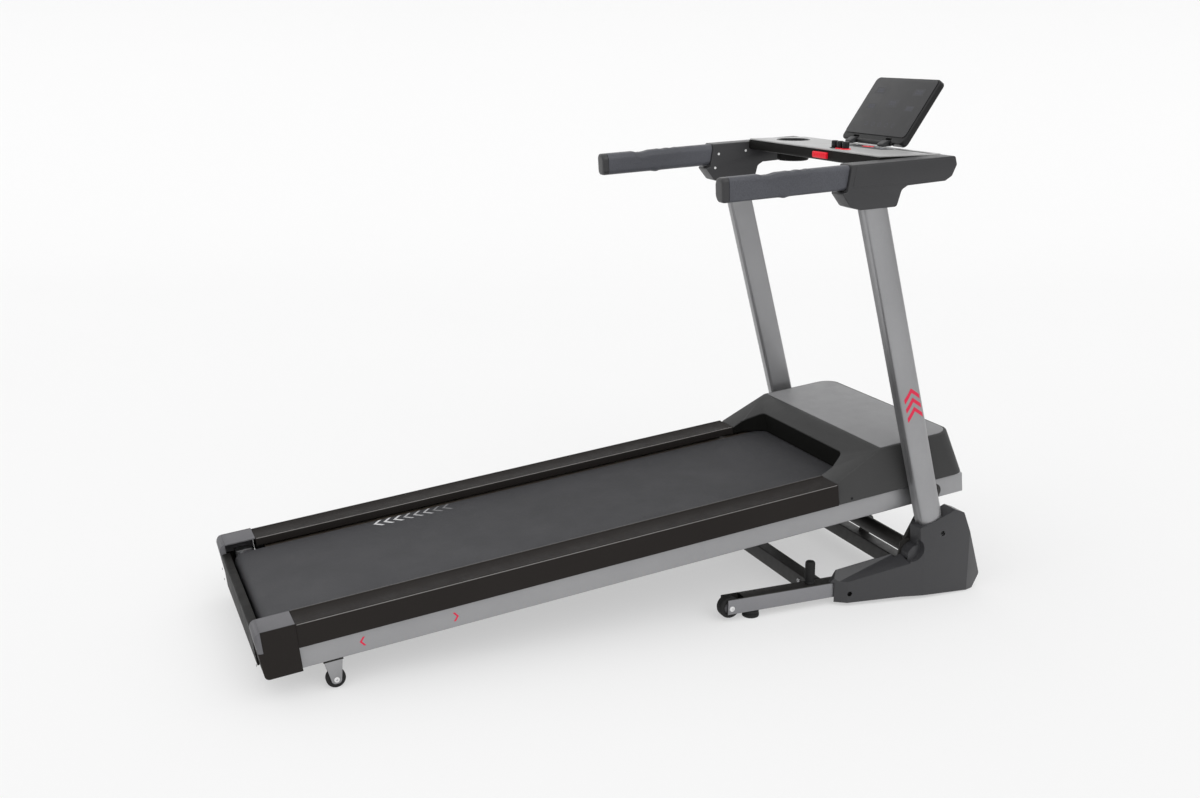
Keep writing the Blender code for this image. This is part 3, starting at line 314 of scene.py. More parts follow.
MAT = {
    "frame_grey": painted("frame_grey", (0.262, 0.262, 0.268), 0.36, 0.75),
    "base_grey": painted("base_grey", (0.205, 0.205, 0.215), 0.38, 0.6),
    "frame_black": painted("frame_black", (0.016, 0.015, 0.014), 0.48, 0.1, 0.2),
    "cover": moulded("cover_charcoal", (0.034, 0.034, 0.0365), 0.34, edge_wear_and_highlight=0.0, specular=0.45),
    "armcap": moulded("armcap_charcoal", (0.036, 0.036, 0.038), 0.38, edge_wear_and_highlight=0.0, specular=0.4),
    "rail": moulded("rail_black", (0.0215, 0.019, 0.0178), 0.5, 700.0, 0.0001, 0.0, 0.045),
    "cap": moulded("cap_grey", (0.098, 0.097, 0.103), 0.5, 700.0, specular=0.16),
    "hood": moulded("hood_dark", (0.036, 0.036, 0.036), 0.46, 1000.0, 0.0001, 0.9, 0.12),
    "hood_lid": moulded("hood_lid_grey", (0.19, 0.19, 0.194), 0.42, 1100.0, 0.00008, specular=0.4),
    # Pale satin strips on the rails' rounded top edges: painted highlights.
    "highlight_strip": moulded("rail_highlight_strip", (0.115, 0.11, 0.106), 0.34, specular=0.5),
    "black": moulded("moulded_black", (0.011, 0.0105, 0.01), 0.5, edge_wear_and_highlight=0.0, specular=0.08),
    # Near-black used in slots, holes, tube mouths and recesses: painted shade where little light reaches.
    "recess_shade": moulded("painted_hollow_shade", (0.006, 0.006, 0.0055), 0.6, specular=0.05),
    "silver": moulded("console_silver", (0.4, 0.4, 0.398), 0.34, 1300.0, 0.00005, 0.1, 0.3),
    "panel": moulded("key_panel_dark", (0.055, 0.055, 0.058), 0.35, 1300.0, 0.00004, specular=0.2),
    "overlay": moulded("display_overlay", (0.046, 0.046, 0.048), 0.42, 1500.0, 0.00003, 0.1, 0.35),
    "bezel": moulded("display_bezel", (0.01, 0.01, 0.0105), 0.36, 1200.0, 0.00005, specular=0.3),
    "gloss_black": moulded("gloss_black", (0.008, 0.008, 0.009), 0.24, 1500.0, 0.00002, 0.1, 0.35),
    "rubber": moulded("black_rubber", (0.012, 0.012, 0.012), 0.72, 600.0, 0.0002, 0.4, 0.2),
    "red": moulded("red_plastic", (0.86, 0.012, 0.03), 0.34, 1400.0, 0.00004, 0.1, 0.3),
    "motor": painted("motor_black", (0.022, 0.022, 0.024), 0.4, 0.3),
    "white_print": plain_print("white_print", (0.7, 0.7, 0.7)),
    "red_print": plain_print("red_print", (0.66, 0.006, 0.055)),
    "icon_print": plain_print("icon_print", (0.085, 0.09, 0.12)),
    "icon_pale": plain_print("icon_pale", (0.3, 0.31, 0.33)),
    "window": moulded("display_window", (0.038, 0.038, 0.042), 0.32, 1500.0, 0.00002, 0.05, 0.35),
    "chevron_white": plain_print("chevron_white", (0.62, 0.62, 0.63)),
    "chevron_grey": plain_print("chevron_grey", (0.4, 0.4, 0.41)),
    "chevron_dim": plain_print("chevron_dim", (0.2, 0.2, 0.205)),
    "belt": make_belt_surface(),
    "foam": make_foam_surface(),
    "steel": make_steel_surface("drawn_steel", (0.52, 0.52, 0.54), 0.28, (1.0, 30.0, 30.0)),
    "zinc": make_steel_surface("zinc_bolt", (0.6, 0.6, 0.61), 0.3, (6.0, 6.0, 6.0)),
    "dark_bolt": make_steel_surface("dark_bolt", (0.03, 0.03, 0.031), 0.38, (6.0, 6.0, 6.0)),
    "wood": make_wood_surface(),
    "circuit": make_circuit_surface(),
}


# --- Builders ---
def body_of(node):
    return nodes[node]["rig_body"]


def finish_piece(name, bm, material, node, replaced=(), matrix=WORLD, bevel=0.0, steps=3, angle=32, smooth=40):
    """A mesh piece in the model's frame, with rounded edges, that rides on the body that node is part of."""
    bm.transform(matrix)
    bmesh.ops.remove_doubles(bm, verts=bm.verts, dist=1e-6)
    bmesh.ops.recalc_face_normals(bm, faces=bm.faces)
    mesh = bpy.data.meshes.new(name)
    bm.to_mesh(mesh)
    bm.free()
    mesh.materials.append(MAT[material])
    obj = bpy.data.objects.new(name, mesh)
    bpy.context.scene.collection.objects.link(obj)
    mesh.shade_smooth()
    mesh.set_sharp_from_angle(angle=math.radians(smooth))
    if bevel:
        round_edges(obj, bevel, steps, angle)
    body = body_of(node)
    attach(obj, body)
    if replaced:
        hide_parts(*([replaced] if isinstance(replaced, str) else replaced))
    return obj


def round_edges(obj, width, steps=3, angle=32):
    """Bevels the sharp edges and applies it, so that the mesh itself is rounded."""
    bevel = obj.modifiers.new("edges", "BEVEL")
    bevel.width = width
    bevel.segments = steps
    bevel.limit_method = "ANGLE"
    bevel.angle_limit = math.radians(angle)
    bevel.miter_outer = "MITER_ARC"
    bevel.harden_normals = False
    apply_modifiers(obj)
    obj.data.shade_smooth()
    obj.data.set_sharp_from_angle(angle=math.radians(40))


def apply_modifiers(obj):
    graph = bpy.context.evaluated_depsgraph_get()
    mesh = bpy.data.meshes.new_from_object(obj.evaluated_get(graph))
    old = obj.data
    obj.modifiers.clear()
    obj.data = mesh
    bpy.data.meshes.remove(old)


PLACES = {"X": lambda a, b, c: (c, a, b), "Y": lambda a, b, c: (a, c, b), "Z": lambda a, b, c: (a, b, c)}


def prism(outline, axis, low, high):
    """A bmesh solid of an outline between two stations on an axis; Y, Z for X, X, Z for Y, X, Y for Z."""
    place = PLACES[axis]
    bm = bmesh.new()
    first = [bm.verts.new(place(a, b, low)) for a, b in outline]
    last = [bm.verts.new(place(a, b, high)) for a, b in outline]
    bm.faces.new(first[::-1])
    bm.faces.new(last)
    for i in range(len(outline)):
        j = (i + 1) % len(outline)
        bm.faces.new((first[i], first[j], last[j], last[i]))
    return bm


def block(low, high):
    return prism(rectangle(low, high), "Z", low[2], high[2])


def loft(rings, cyclic=False):
    """A bmesh skin through rings of the same number of points."""
    bm = bmesh.new()
    loops = [[bm.verts.new(p) for p in ring] for ring in rings]
    pairs = list(zip(loops, loops[1:])) + ([(loops[-1], loops[0])] if cyclic else [])
    for first, second in pairs:
        for i in range(len(first)):
            j = (i + 1) % len(first)
            bm.faces.new((first[i], first[j], second[j], second[i]))
    if not cyclic:
        bm.faces.new(loops[0][::-1])
        bm.faces.new(loops[-1])
    return bm


def lathe(stations, axis, centre, sides=48):
    """A bmesh turned about an axis through centre, from (station, radius) pairs."""
    return loft(lathe_rings(stations, axis, centre, sides))


def symmetric(half):
    """(station, radius) pairs from one end to the middle, and on to the other end."""
    return half + [(-station, radius) for station, radius in reversed(half)]


def lathe_rings(stations, axis, centre, sides=48):
    rings = []
    for station, radius in stations:
        ring = []
        for i in range(sides):
            turn = 2 * math.pi * i / sides
            a, b = radius * math.cos(turn), radius * math.sin(turn)
            p = {"X": (station, a, b), "Y": (b, station, a), "Z": (a, b, station)}[axis]
            ring.append(Vector(p) + Vector(centre))
        rings.append(ring)
    return rings


def round_corners(points, radius, steps=6):
    count = len(points)
    radii = [radius] * count if isinstance(radius, (int, float)) else radius
    rounded = []
    for i, point in enumerate(points):
        corner = Vector(point)
        to_last = Vector(points[i - 1]) - corner
        to_next = Vector(points[(i + 1) % count]) - corner
        if radii[i] <= 0:
            rounded.append(tuple(corner))
            continue
        half = to_last.angle(to_next) / 2
        reach = min(radii[i] / math.tan(half), 0.49 * to_last.length, 0.49 * to_next.length)
        r = reach * math.tan(half)
        bisector = (to_last.normalized() + to_next.normalized()).normalized()
        centre = corner + bisector * (r / math.sin(half))
        first = corner + to_last.normalized() * reach - centre
        last = corner + to_next.normalized() * reach - centre
        sweep = first.angle_signed(last)
        for step in range(steps + 1):
            rounded.append(tuple(centre + Matrix.Rotation(-sweep * step / steps, 2) @ first))
    return rounded


def rectangle(low, high, radius=0.0, steps=6):
    points = [(low[0], low[1]), (high[0], low[1]), (high[0], high[1]), (low[0], high[1])]
    return round_corners(points, radius, steps) if radius else points


def circle(centre, radius, sides=40):
    return [(centre[0] + radius * math.cos(2 * math.pi * i / sides),
             centre[1] + radius * math.sin(2 * math.pi * i / sides)) for i in range(sides)]


def joined(first, *others):
    """One bmesh that holds several closed shells."""
    for other in others:
        mesh = bpy.data.meshes.new("joining")
        other.to_mesh(mesh)
        other.free()
        first.from_mesh(mesh)
        bpy.data.meshes.remove(mesh)
    return first


def with_booleans(bm, operations):
    """The bmesh after exact booleans with others, given as (operation, bmesh) pairs."""
    def scratch(shape, name):
        bmesh.ops.remove_doubles(shape, verts=shape.verts, dist=1e-6)
        bmesh.ops.recalc_face_normals(shape, faces=shape.faces)
        mesh = bpy.data.meshes.new(name)
        shape.to_mesh(mesh)
        shape.free()
        obj = bpy.data.objects.new(name, mesh)
        bpy.context.scene.collection.objects.link(obj)
        return obj

    base = scratch(bm, "boolean_base")
    helpers = []
    for operation, other in operations:
        helper = scratch(other, "boolean_helper")
        helpers.append(helper)
        modifier = base.modifiers.new("boolean", "BOOLEAN")
        modifier.operation = operation
        modifier.solver = "EXACT"
        modifier.object = helper
    graph = bpy.context.evaluated_depsgraph_get()
    result = bpy.data.meshes.new_from_object(base.evaluated_get(graph))
    for obj in [base] + helpers:
        mesh = obj.data
        bpy.data.objects.remove(obj)
        bpy.data.meshes.remove(mesh)
    out = bmesh.new()
    out.from_mesh(result)
    bpy.data.meshes.remove(result)
    bmesh.ops.remove_doubles(out, verts=out.verts, dist=2e-6)
    bmesh.ops.dissolve_limit(out, angle_limit=math.radians(0.5), use_dissolve_boundaries=False,
                             verts=out.verts, edges=out.edges, delimit={"NORMAL"})
    return out


def cut(bm, *cutters):
    """The bmesh with others taken away from it."""
    return with_booleans(bm, [("DIFFERENCE", cutter) for cutter in cutters])


def shifted(points):
    """(y, z) points given from the model's Y datum, moved to the box's middle."""
    return [(y + SHIFT, z) for y, z in points]


def span(sign, low, high):
    return (low, high) if sign > 0 else (-high, -low)


def bolt(name, place, direction, radius, material, node, matrix=WORLD, height=0.45):
    """A domed socket-head screw standing on place."""
    r, h = radius, radius * height
    stations = [(-0.3 * h, r), (0.35 * h, r), (0.8 * h, 0.86 * r), (h, 0.66 * r), (h, 0.46 * r), (0.35 * h, 0.44 * r)]
    rings = []
    for station, size in stations:
        ring = []
        for i in range(24):
            turn = 2 * math.pi * i / 24
            inner = size < 0.5 * r
            size_here = size
            if inner:                    # the socket is a hexagon
                facet = (turn + math.pi / 6) % (math.pi / 3) - math.pi / 6
                size_here = size * 0.87 / math.cos(facet)
            ring.append(Vector((size_here * math.cos(turn), size_here * math.sin(turn), station)))
        rings.append(ring)
    bm = loft(rings)
    turn = Vector((0, 0, 1)).rotation_difference(Vector(direction)).to_matrix().to_4x4()
    bm.transform(Matrix.Translation(Vector(place)) @ turn)
    return finish_piece(name, bm, material, node, matrix=matrix, smooth=35)


def bevelled(bm, width, steps=3, angle=32):
    """The bmesh with its sharp edges rounded."""
    bmesh.ops.remove_doubles(bm, verts=bm.verts, dist=1e-6)
    bmesh.ops.recalc_face_normals(bm, faces=bm.faces)
    mesh = bpy.data.meshes.new("bevelling")
    bm.to_mesh(mesh)
    bm.free()
    obj = bpy.data.objects.new("bevelling", mesh)
    bpy.context.scene.collection.objects.link(obj)
    round_edges(obj, width, steps, angle)
    out = bmesh.new()
    out.from_mesh(obj.data)
    mesh = obj.data
    bpy.data.objects.remove(obj)
    bpy.data.meshes.remove(mesh)
    return out


def mirror(bm, sign):
    if sign < 0:
        bm.transform(Matrix.Diagonal((-1.0, 1.0, 1.0, 1.0)))
    return bm


def convex(points):
    bm = bmesh.new()
    for point in points:
        bm.verts.new(point)
    bmesh.ops.convex_hull(bm, input=bm.verts)
    return bm


def tube(axis, low, high, radius=0.003, wall=0.002):
    """A hollow rectangular tube along an axis, with rounded corners, open at both ends."""
    i, j = {"X": (1, 2), "Y": (0, 2), "Z": (0, 1)}[axis]
    k = "XYZ".index(axis)

    def ring(inset, station):
        outline = rectangle((low[i] + inset, low[j] + inset), (high[i] - inset, high[j] - inset),
                            max(radius - inset, 0.0006), 4)
        return [PLACES[axis](a, b, station) for a, b in outline]

    return loft([ring(0, low[k]), ring(0, high[k]), ring(wall, high[k]), ring(wall, low[k])], cyclic=True)


def strip_chevron(width, height, stroke, place, thickness=0.0003, steps=8):
    """A < mark laid on a surface: place(a, b, rise) puts its points, a along the mark and b across it."""
    rings = []
    for step in range(-steps, steps + 1):
        b = height * step / steps
        a = width * abs(step) / steps
        rings.append([place(a, b, -0.0004), place(a + stroke, b, -0.0004),
                      place(a + stroke, b, thickness), place(a, b, thickness)])
    return loft(rings)


# --- Deck: tubes, crossmembers and wheels ---
def make_deck_frame():
    for side, sign in SIDES:
        node = f"side_tube_{side}"
        shell = tube("Y", (0.2735, -1.64, -0.0248), (SIDE_OUT, 0.0906, 0.0267), 0.0035)
        blocks = [bevelled(block((0.2755, u - 0.014, 0.0245), (0.3005, u + reach, 0.05)), 0.0015, 2)
                  for u, reach in ((REAR_ROLLER_U, 0.028), (FRONT_ROLLER_U, 0.014))]
        finish_piece(f"{node}_steel", mirror(joined(shell, *blocks), sign), "frame_grey", node, node, DECK)
        for end, u in (("front", 0.0904), ("rear", -1.6358)):
            plug = prism(rectangle((0.2757, -0.0226), (SIDE_OUT - 0.0022, 0.0245), 0.0015, 3), "Y", u - 0.004, u)
            finish_piece(f"side_tube_plug_{end}_{side}", mirror(plug, sign), "cap", node,
                         matrix=DECK, bevel=0.0008, steps=2)
        for way, start in ((1, -1.49), (-1, -1.264)):
            def place(a, b, rise, way=way, start=start, sign=sign):
                return (sign * (SIDE_OUT + rise), start + way * a, 0.0008 + b)

            finish_piece(f"side_tube_mark_{'rear' if way > 0 else 'front'}_{side}",
                         strip_chevron(0.008, 0.0105, 0.005, place, 0.0003, 4), "red_print",
                         node, matrix=DECK)
        for u in (-1.552, -0.455):
            bolt(f"side_tube_bolt_{round(-u * 1000)}_{side}", (sign * 0.2735, u, -0.008), (-sign, 0, 0), 0.0055,
                 "zinc", node, DECK)
    half = 0.2731
    cross = {
        "front_crossmember": ((-half, 0.065, -0.0244), (half, 0.0895, 0.0263)),
        "mid_crossmember": ((-half, -0.47, -0.024), (half, -0.44, 0.0125)),
        "rear_crossmember": ((-half, -1.567, -0.024), (half, -1.537, 0.0125)),
    }
    for name, (low, high) in cross.items():
        extras = []
        if name == "front_crossmember":
            tray = block((-half, -0.1, 0.0203), (half, 0.066, 0.0224))
            extras.append(cut(tray, prism(rectangle((-0.045, -0.12), (0.138, 0.06), 0.006), "Z", 0.0, 0.06),
                              block((-0.2665, -0.12, 0.0), (-0.2365, -0.045, 0.06))))
        if name == "mid_crossmember":
            ear = round_corners([(-0.445, -0.03), (-0.408, -0.023), (-0.408, 0.004), (-0.445, 0.01)], 0.006)
            extras.append(bevelled(prism(ear, "X", -0.102, -0.097), 0.0006, 2))
        if name == "rear_crossmember":
            for sign in (1, -1):
                for low_corner, high_corner in (
                        ((0.26, WHEEL_U - 0.022, -0.0283), (0.303, WHEEL_U + 0.022, -0.0252)),
                        ((0.26, WHEEL_U - 0.012, -0.0278), (0.2728, WHEEL_U + 0.012, 0.0))):
                    extras.append(mirror(bevelled(block(low_corner, high_corner), 0.0008, 2), sign))
        finish_piece(name + "_steel", joined(tube("X", low, high, 0.003), *extras), "frame_black", name, name, DECK)
    fork = round_corners([(WHEEL_U - 0.02, -0.0268), (WHEEL_U - 0.01, WHEEL_V - 0.01),
                          (WHEEL_U + 0.01, WHEEL_V - 0.01), (WHEEL_U + 0.02, -0.0268)], [0, 0.0095, 0.0095, 0], 8)
    for side, sign in SIDES:
        for name, inner in (("inner", 0.272), ("outer", 0.3)):
            plate = prism(fork, "X", inner, inner + 0.003)
            finish_piece(f"wheel_fork_{name}_{side}", mirror(plate, sign), "frame_grey", "rear_crossmember",
                         matrix=DECK, bevel=0.0006, steps=2)
        make_deck_wheel(side, sign)


def make_deck_wheel(side, sign):
    node = f"deck_wheel_{side}"
    centre = (sign * WHEEL_X, WHEEL_U, WHEEL_V)
    tyre = symmetric([(-0.009, 0.0135), (-0.009, 0.019), (-0.0082, 0.0207), (-0.006, 0.0217),
                      (-0.003, WHEEL_R)]) + [(0.008, 0.0128), (-0.008, 0.0128)]
    rings = lathe_rings(tyre, "X", centre)
    finish_piece(f"{node}_tyre", loft(rings, cyclic=True), "rubber", node, node, DECK)
    hub = symmetric([(-0.01, 0.004), (-0.01, 0.0075), (-0.0075, 0.0085), (-0.0065, 0.0118), (-0.0085, 0.0126),
                     (-0.008, 0.0131)])
    finish_piece(f"{node}_hub", lathe(hub, "X", centre), "cap", node, matrix=DECK)
    axle = symmetric([(-0.016, 0.0035), (-0.015, 0.004)])
    finish_piece(f"{node}_axle", lathe(axle, "X", centre, 24), "steel", node, matrix=DECK)
    for face, x in (("outer", 0.0148), ("inner", -0.0168)):
        place = (sign * (WHEEL_X + x), WHEEL_U, WHEEL_V)
        bolt(f"{node}_{face}_nut", place, (sign if face == "outer" else -sign, 0, 0), 0.0062,
             "white_print", "rear_crossmember", DECK, 0.42)


make_deck_frame()


# --- Deck: belt, rollers, board and drive ---
def wheel_loop(rear, rear_radius, front, front_radius, steps, straight):
    reach = front - rear
    base = math.atan2(reach.y, reach.x)
    lean = math.acos((rear_radius - front_radius) / reach.length)
    turned = []
    for centre, radius, start, sweep in (
            (front, front_radius, base - lean, 2 * lean), (rear, rear_radius, base + lean, 2 * math.pi - 2 * lean)):
        turned.append([centre + radius * Vector((math.cos(start + sweep * i / steps),
                                                 math.sin(start + sweep * i / steps))) for i in range(steps + 1)])
    line = []
    for arc, following in (turned, turned[::-1]):
        line += arc
        line += [arc[-1].lerp(following[0], i / straight) for i in range(1, straight)]
    return [tuple(p) for p in line]


def ring(outline, x):
    return [(x, a, b) for a, b in outline]


def ring_belt(outer, inner, low, high):
    """A belt's solid: an outer and an inner loop of the same number of points, across X."""
    return loft([ring(outer, low), ring(outer, high), ring(inner, high), ring(inner, low)], cyclic=True)


def make_belt_and_board():
    node = "running_belt"
    rear = Vector((REAR_ROLLER_U, ROLLER_V))
    front = Vector((FRONT_ROLLER_U, ROLLER_V))
    outer = wheel_loop(rear, BELT_OUT, front, BELT_OUT, 28, 24)
    inner = wheel_loop(rear, BELT_IN, front, BELT_IN, 28, 24)
    edge = 0.0008
    shoulder = wheel_loop(rear, BELT_OUT - edge, front, BELT_OUT - edge, 28, 24)
    belt = loft([ring(shoulder, -BELT_HALF), ring(outer, -BELT_HALF + edge), ring(outer, BELT_HALF - edge),
                 ring(shoulder, BELT_HALF), ring(inner, BELT_HALF), ring(inner, -BELT_HALF)], cyclic=True)
    finish_piece("running_belt_loop", belt, "belt", node, node, DECK)
    for i in range(8):
        fade = "chevron_white" if i < 3 else "chevron_grey" if i < 6 else "chevron_dim"

        def place(a, b, rise, u=-1.331 + 0.026 * i):
            return (-0.2035 + b, u + a, BELT_TOP + rise)

        mark = strip_chevron(0.0175, 0.019, 0.0085 - 0.0003 * i, place, 0.00018, 4)
        finish_piece(f"belt_mark_{i + 1}", mark, fade, node, matrix=DECK)
    board = block((-0.2645, -1.5995, 0.0432), (0.2645, -0.1905, 0.0603))
    finish_piece("deck_board_laminate", board, "wood", "deck_board", "deck_board", DECK, bevel=0.0015)
    for side, sign in SIDES:
        for u in (-1.45, -1.1, -0.75, -0.45):
            bolt(f"board_screw_{round(-u * 100)}_{side}", (sign * 0.255, u, 0.06), (0, 0, 1), 0.005, "dark_bolt",
                 "deck_board", DECK, 0.25)


def make_rollers_and_drive():
    rear_c, front_c = (0, REAR_ROLLER_U, ROLLER_V), (0, FRONT_ROLLER_U, ROLLER_V)
    rear = symmetric([(-0.2905, 0.006), (-0.2895, 0.007), (-0.233, 0.007), (-0.233, 0.017), (-0.2318, 0.019),
                      (-0.23, 0.02), (-0.22, 0.0216), (-0.12, 0.022)])
    finish_piece("rear_roller_steel", lathe(rear, "X", rear_c), "steel", "rear_roller", "rear_roller", DECK)
    grooves = []
    for i in range(5):
        x = -0.2595 + i * 0.0038
        grooves += [(x, 0.0274), (x + 0.0012, 0.0274), (x + 0.0019, 0.0262)]
    front = [(-0.2905, 0.006), (-0.2895, 0.007), (-0.264, 0.007), (-0.264, 0.0285), (-0.2632, 0.0294),
             (-0.2622, 0.0294), (-0.2612, 0.0274)] + grooves + [
             (-0.2412, 0.0274), (-0.2402, 0.0294), (-0.2394, 0.0294), (-0.239, 0.0285), (-0.239, 0.0205),
             (-0.23, 0.0218), (0.23, 0.0218), (0.2318, 0.0205), (0.2318, 0.007), (0.2895, 0.007),
             (0.2905, 0.006)]
    finish_piece("front_roller_steel", lathe(front, "X", front_c), "steel", "front_roller", "front_roller", DECK)
    motor_c = (0, -0.02, 0.073)
    shell = [(-0.213, 0.0068), (-0.2148, 0.02), (-0.2148, 0.033), (-0.212, 0.037), (-0.208, 0.0385), (-0.196, 0.0388),
             (-0.195, 0.0398), (-0.085, 0.0398), (-0.084, 0.0388), (-0.069, 0.0385), (-0.064, 0.037),
             (-0.0602, 0.033), (-0.0602, 0.012), (-0.062, 0.011)]
    foot = bevelled(block((-0.1945, -0.0495, 0.023), (-0.0755, 0.0095, 0.043)), 0.002)
    node = "drive_motor"
    finish_piece("drive_motor_shell", joined(lathe(shell, "X", motor_c), foot), "motor", node, node, DECK)
    for i in range(14):
        turn = math.pi * (i - 3) / 13 * 1.25
        rib = block((-0.19, -0.0008, 0.0385), (-0.09, 0.0008, 0.04))
        rib.transform(Matrix.Translation(motor_c) @ Matrix.Rotation(turn - 0.5, 4, "X"))
        finish_piece(f"motor_rib_{i + 1}", rib, "motor", node, matrix=DECK, bevel=0.0003, steps=2)
    pulley = [(-0.264, 0.013), (-0.2632, 0.0139), (-0.2622, 0.0139), (-0.2612, 0.0119), (-0.2412, 0.0119),
              (-0.2402, 0.0139), (-0.2394, 0.0139), (-0.239, 0.013), (-0.239, 0.0058), (-0.1955, 0.0058),
              (-0.195, 0.005)]
    finish_piece("motor_pulley_steel", lathe(pulley, "X", motor_c), "steel", "motor_pulley", "motor_pulley", DECK)
    front, shaft = Vector(front_c[1:]), Vector(motor_c[1:])
    belt = ring_belt(wheel_loop(front, 0.0299, shaft, 0.0144, 24, 6), wheel_loop(front, 0.0279, shaft, 0.0124, 24, 6),
                     -0.26, -0.243)
    finish_piece("drive_belt_loop", belt, "rubber", "drive_belt", "drive_belt", DECK)
    make_control_board()


def make_control_board():
    node = "control_board"
    board = prism(rectangle((0.1602, -0.0848), (0.2578, 0.0398), 0.003), "Z", 0.0302, 0.0323)
    finish_piece("control_board_laminate", board, "circuit", node, node, DECK, bevel=0.0002, steps=2)
    posts = joined(*[prism(circle((x, u), 0.004, 20), "Z", 0.0229, 0.0304)
                     for x, u in ((0.185, -0.025), (0.225, -0.025), (0.185, -0.005), (0.225, -0.005))])
    finish_piece("board_posts", posts, "zinc", node, matrix=DECK, bevel=0.0004, steps=2)
    base = bevelled(block((0.17, -0.05, 0.0321), (0.21, 0.02, 0.0365)), 0.0004, 2)
    fins = [bevelled(block((0.17 + i * 0.0054, -0.05, 0.036), (0.1722 + i * 0.0054, 0.02, 0.0558)), 0.0004, 2)
            for i in range(8)]
    finish_piece("heat_sink_fins", joined(base, *fins), "steel", node, matrix=DECK)
    coil = [(0.0321, 0.0125), (0.033, 0.014), (0.048, 0.014), (0.0498, 0.012), (0.0498, 0.006)]
    finish_piece("coil_winding", lathe(coil, "Z", (0.234, -0.05, 0)), "red", node, matrix=DECK)
    for i, (x, u) in enumerate(((0.223, 0.008), (0.238, 0.008), (0.223, 0.025), (0.24, 0.025))):
        can = [(0.0321, 0.0056), (0.0326, 0.006), (0.044, 0.006), (0.0446, 0.0056), (0.0446, 0.0048),
               (0.0443, 0.0045)]
        finish_piece(f"capacitor_{i + 1}", lathe(can, "Z", (x, u, 0), 28), "gloss_black", node, matrix=DECK)


make_belt_and_board()
make_rollers_and_drive()


# --- Deck: foot rails, rear caps, rear cover and motor hood ---
def make_rails():
    profile = [
        (0.317, 0.0302), (0.317, 0.0812), (0.3166, 0.0829), (0.3155, 0.0843), (0.314, 0.0851), (0.3122, 0.0852),
        (0.3114, 0.0846), (0.3108, 0.0843), (0.2462, 0.0843), (0.2456, 0.0846), (0.2448, 0.0853), (0.2436, 0.0856),
        (0.2392, 0.0856), (0.2379, 0.0851), (0.2371, 0.084), (0.237, 0.0826), (0.237, 0.0672), (0.2376, 0.0662),
        (0.2389, 0.0662), (0.2395, 0.0672), (0.2395, 0.0818), (0.3145, 0.0818), (0.3145, 0.0302),
    ]
    for side, sign in SIDES:
        node = f"foot_rail_{side}"
        rail = prism(profile, "Y", RAIL_REAR + 0.0006, RAIL_FRONT - 0.0006)
        finish_piece(f"{node}_moulding", mirror(rail, sign), "rail", node, node, DECK, smooth=50)
        # Pale strips along the rails' inner and outer top edges: painted highlights where the rounded edges catch the
        # light.
        for edge, (x, v), width in (("inner", (0.2388, 0.0845), 0.0013), ("outer", (0.316, 0.0836), 0.001)):
            highlight_strip = prism(circle((x, v), width, 14), "Y", RAIL_REAR + 0.003, RAIL_FRONT - 0.003)
            finish_piece(f"{node}_{edge}_bead", mirror(highlight_strip, sign), "highlight_strip", node, matrix=DECK)
        # A black rubber strip fills the gap between the side tube and the rail: painted shade in the gap.
        gap_shade = prism([(0.299, 0.0264), (0.303, 0.0264), (0.303, 0.0312), (0.3142, 0.0312), (0.3142, 0.043),
                      (0.299, 0.043)], "Y", RAIL_REAR + 0.001, RAIL_FRONT - 0.001)
        finish_piece(f"side_tube_gap_shade_{side}", mirror(gap_shade, sign), "rubber", f"side_tube_{side}", matrix=DECK)
        groove = [(0.252, 0.0843), (0.2526, 0.0846), (0.2532, 0.0843)]
        ribs = []
        for i in range(9):
            shift = i * 0.0065
            ribs.append(prism([(x + shift, v - 0.0002) for x, v in groove], "Y", RAIL_REAR + 0.004,
                              RAIL_FRONT - 0.004))
        finish_piece(f"{node}_ribs", mirror(joined(*ribs), sign), "rail", node, matrix=DECK)


def make_rear_caps():
    x0, x1 = 0.2412, 0.318
    rear = CAP_REAR + 0.0004
    side_line = round_corners([(rear + 0.009, -0.0238), (RAIL_REAR, -0.0238), (RAIL_REAR, 0.0866),
                               (rear, 0.0866)], [0.011, 0.0, 0.0, 0.015], 10)
    plan_line = round_corners([(x0, rear), (x1, rear), (x1, RAIL_REAR), (x0, RAIL_REAR)],
                              [0.006, 0.013, 0.0, 0.0], 10)

    def full():
        solid = with_booleans(prism(side_line, "X", x0 - 0.01, x1 + 0.01),
                              [("INTERSECT", prism(plan_line, "Z", -0.1, 0.12))])
        return bevelled(solid, 0.0022, 4, 50)

    for side, sign in SIDES:
        node = f"rear_cap_{side}"
        top = cut(full(), block((0.0, CAP_REAR + 0.016, -0.1), (0.3148, 0.0, 0.0836)),
                  block((0.0, -2.0, -0.1), (0.4, 0.0, 0.039)), block((0.315, -1.695, -0.1), (0.4, 0.0, 0.2)))
        finish_piece(f"{node}_top", mirror(top, sign), "cap", node, node, DECK)
        lower = cut(full(), block((0.0, CAP_REAR + 0.016, -0.1), (0.3158, 0.0, 0.2)),
                    block((0.0, -2.0, 0.0384), (0.4, -1.6944, 0.2)))
        finish_piece(f"{node}_side", mirror(lower, sign), "rail", node, matrix=DECK)
        # A near-black plate in the cap's hollow: painted shade inside the cap.
        sill = round_corners([(0.242, -1.696), (0.3154, -1.696), (0.3154, -1.642), (0.242, -1.642)], 0.003, 3)
        finish_piece(f"{node}_sill", mirror(prism(sill, "Z", -0.0234, -0.0214), sign), "recess_shade", node, matrix=DECK)
        for v in (0.018, -0.01):
            bolt(f"{node}_screw_{'upper' if v > 0 else 'lower'}", (sign * 0.262, CAP_REAR + 0.0009, v),
                 (0, -1, 0), 0.0032, "dark_bolt", node, DECK, 0.2)


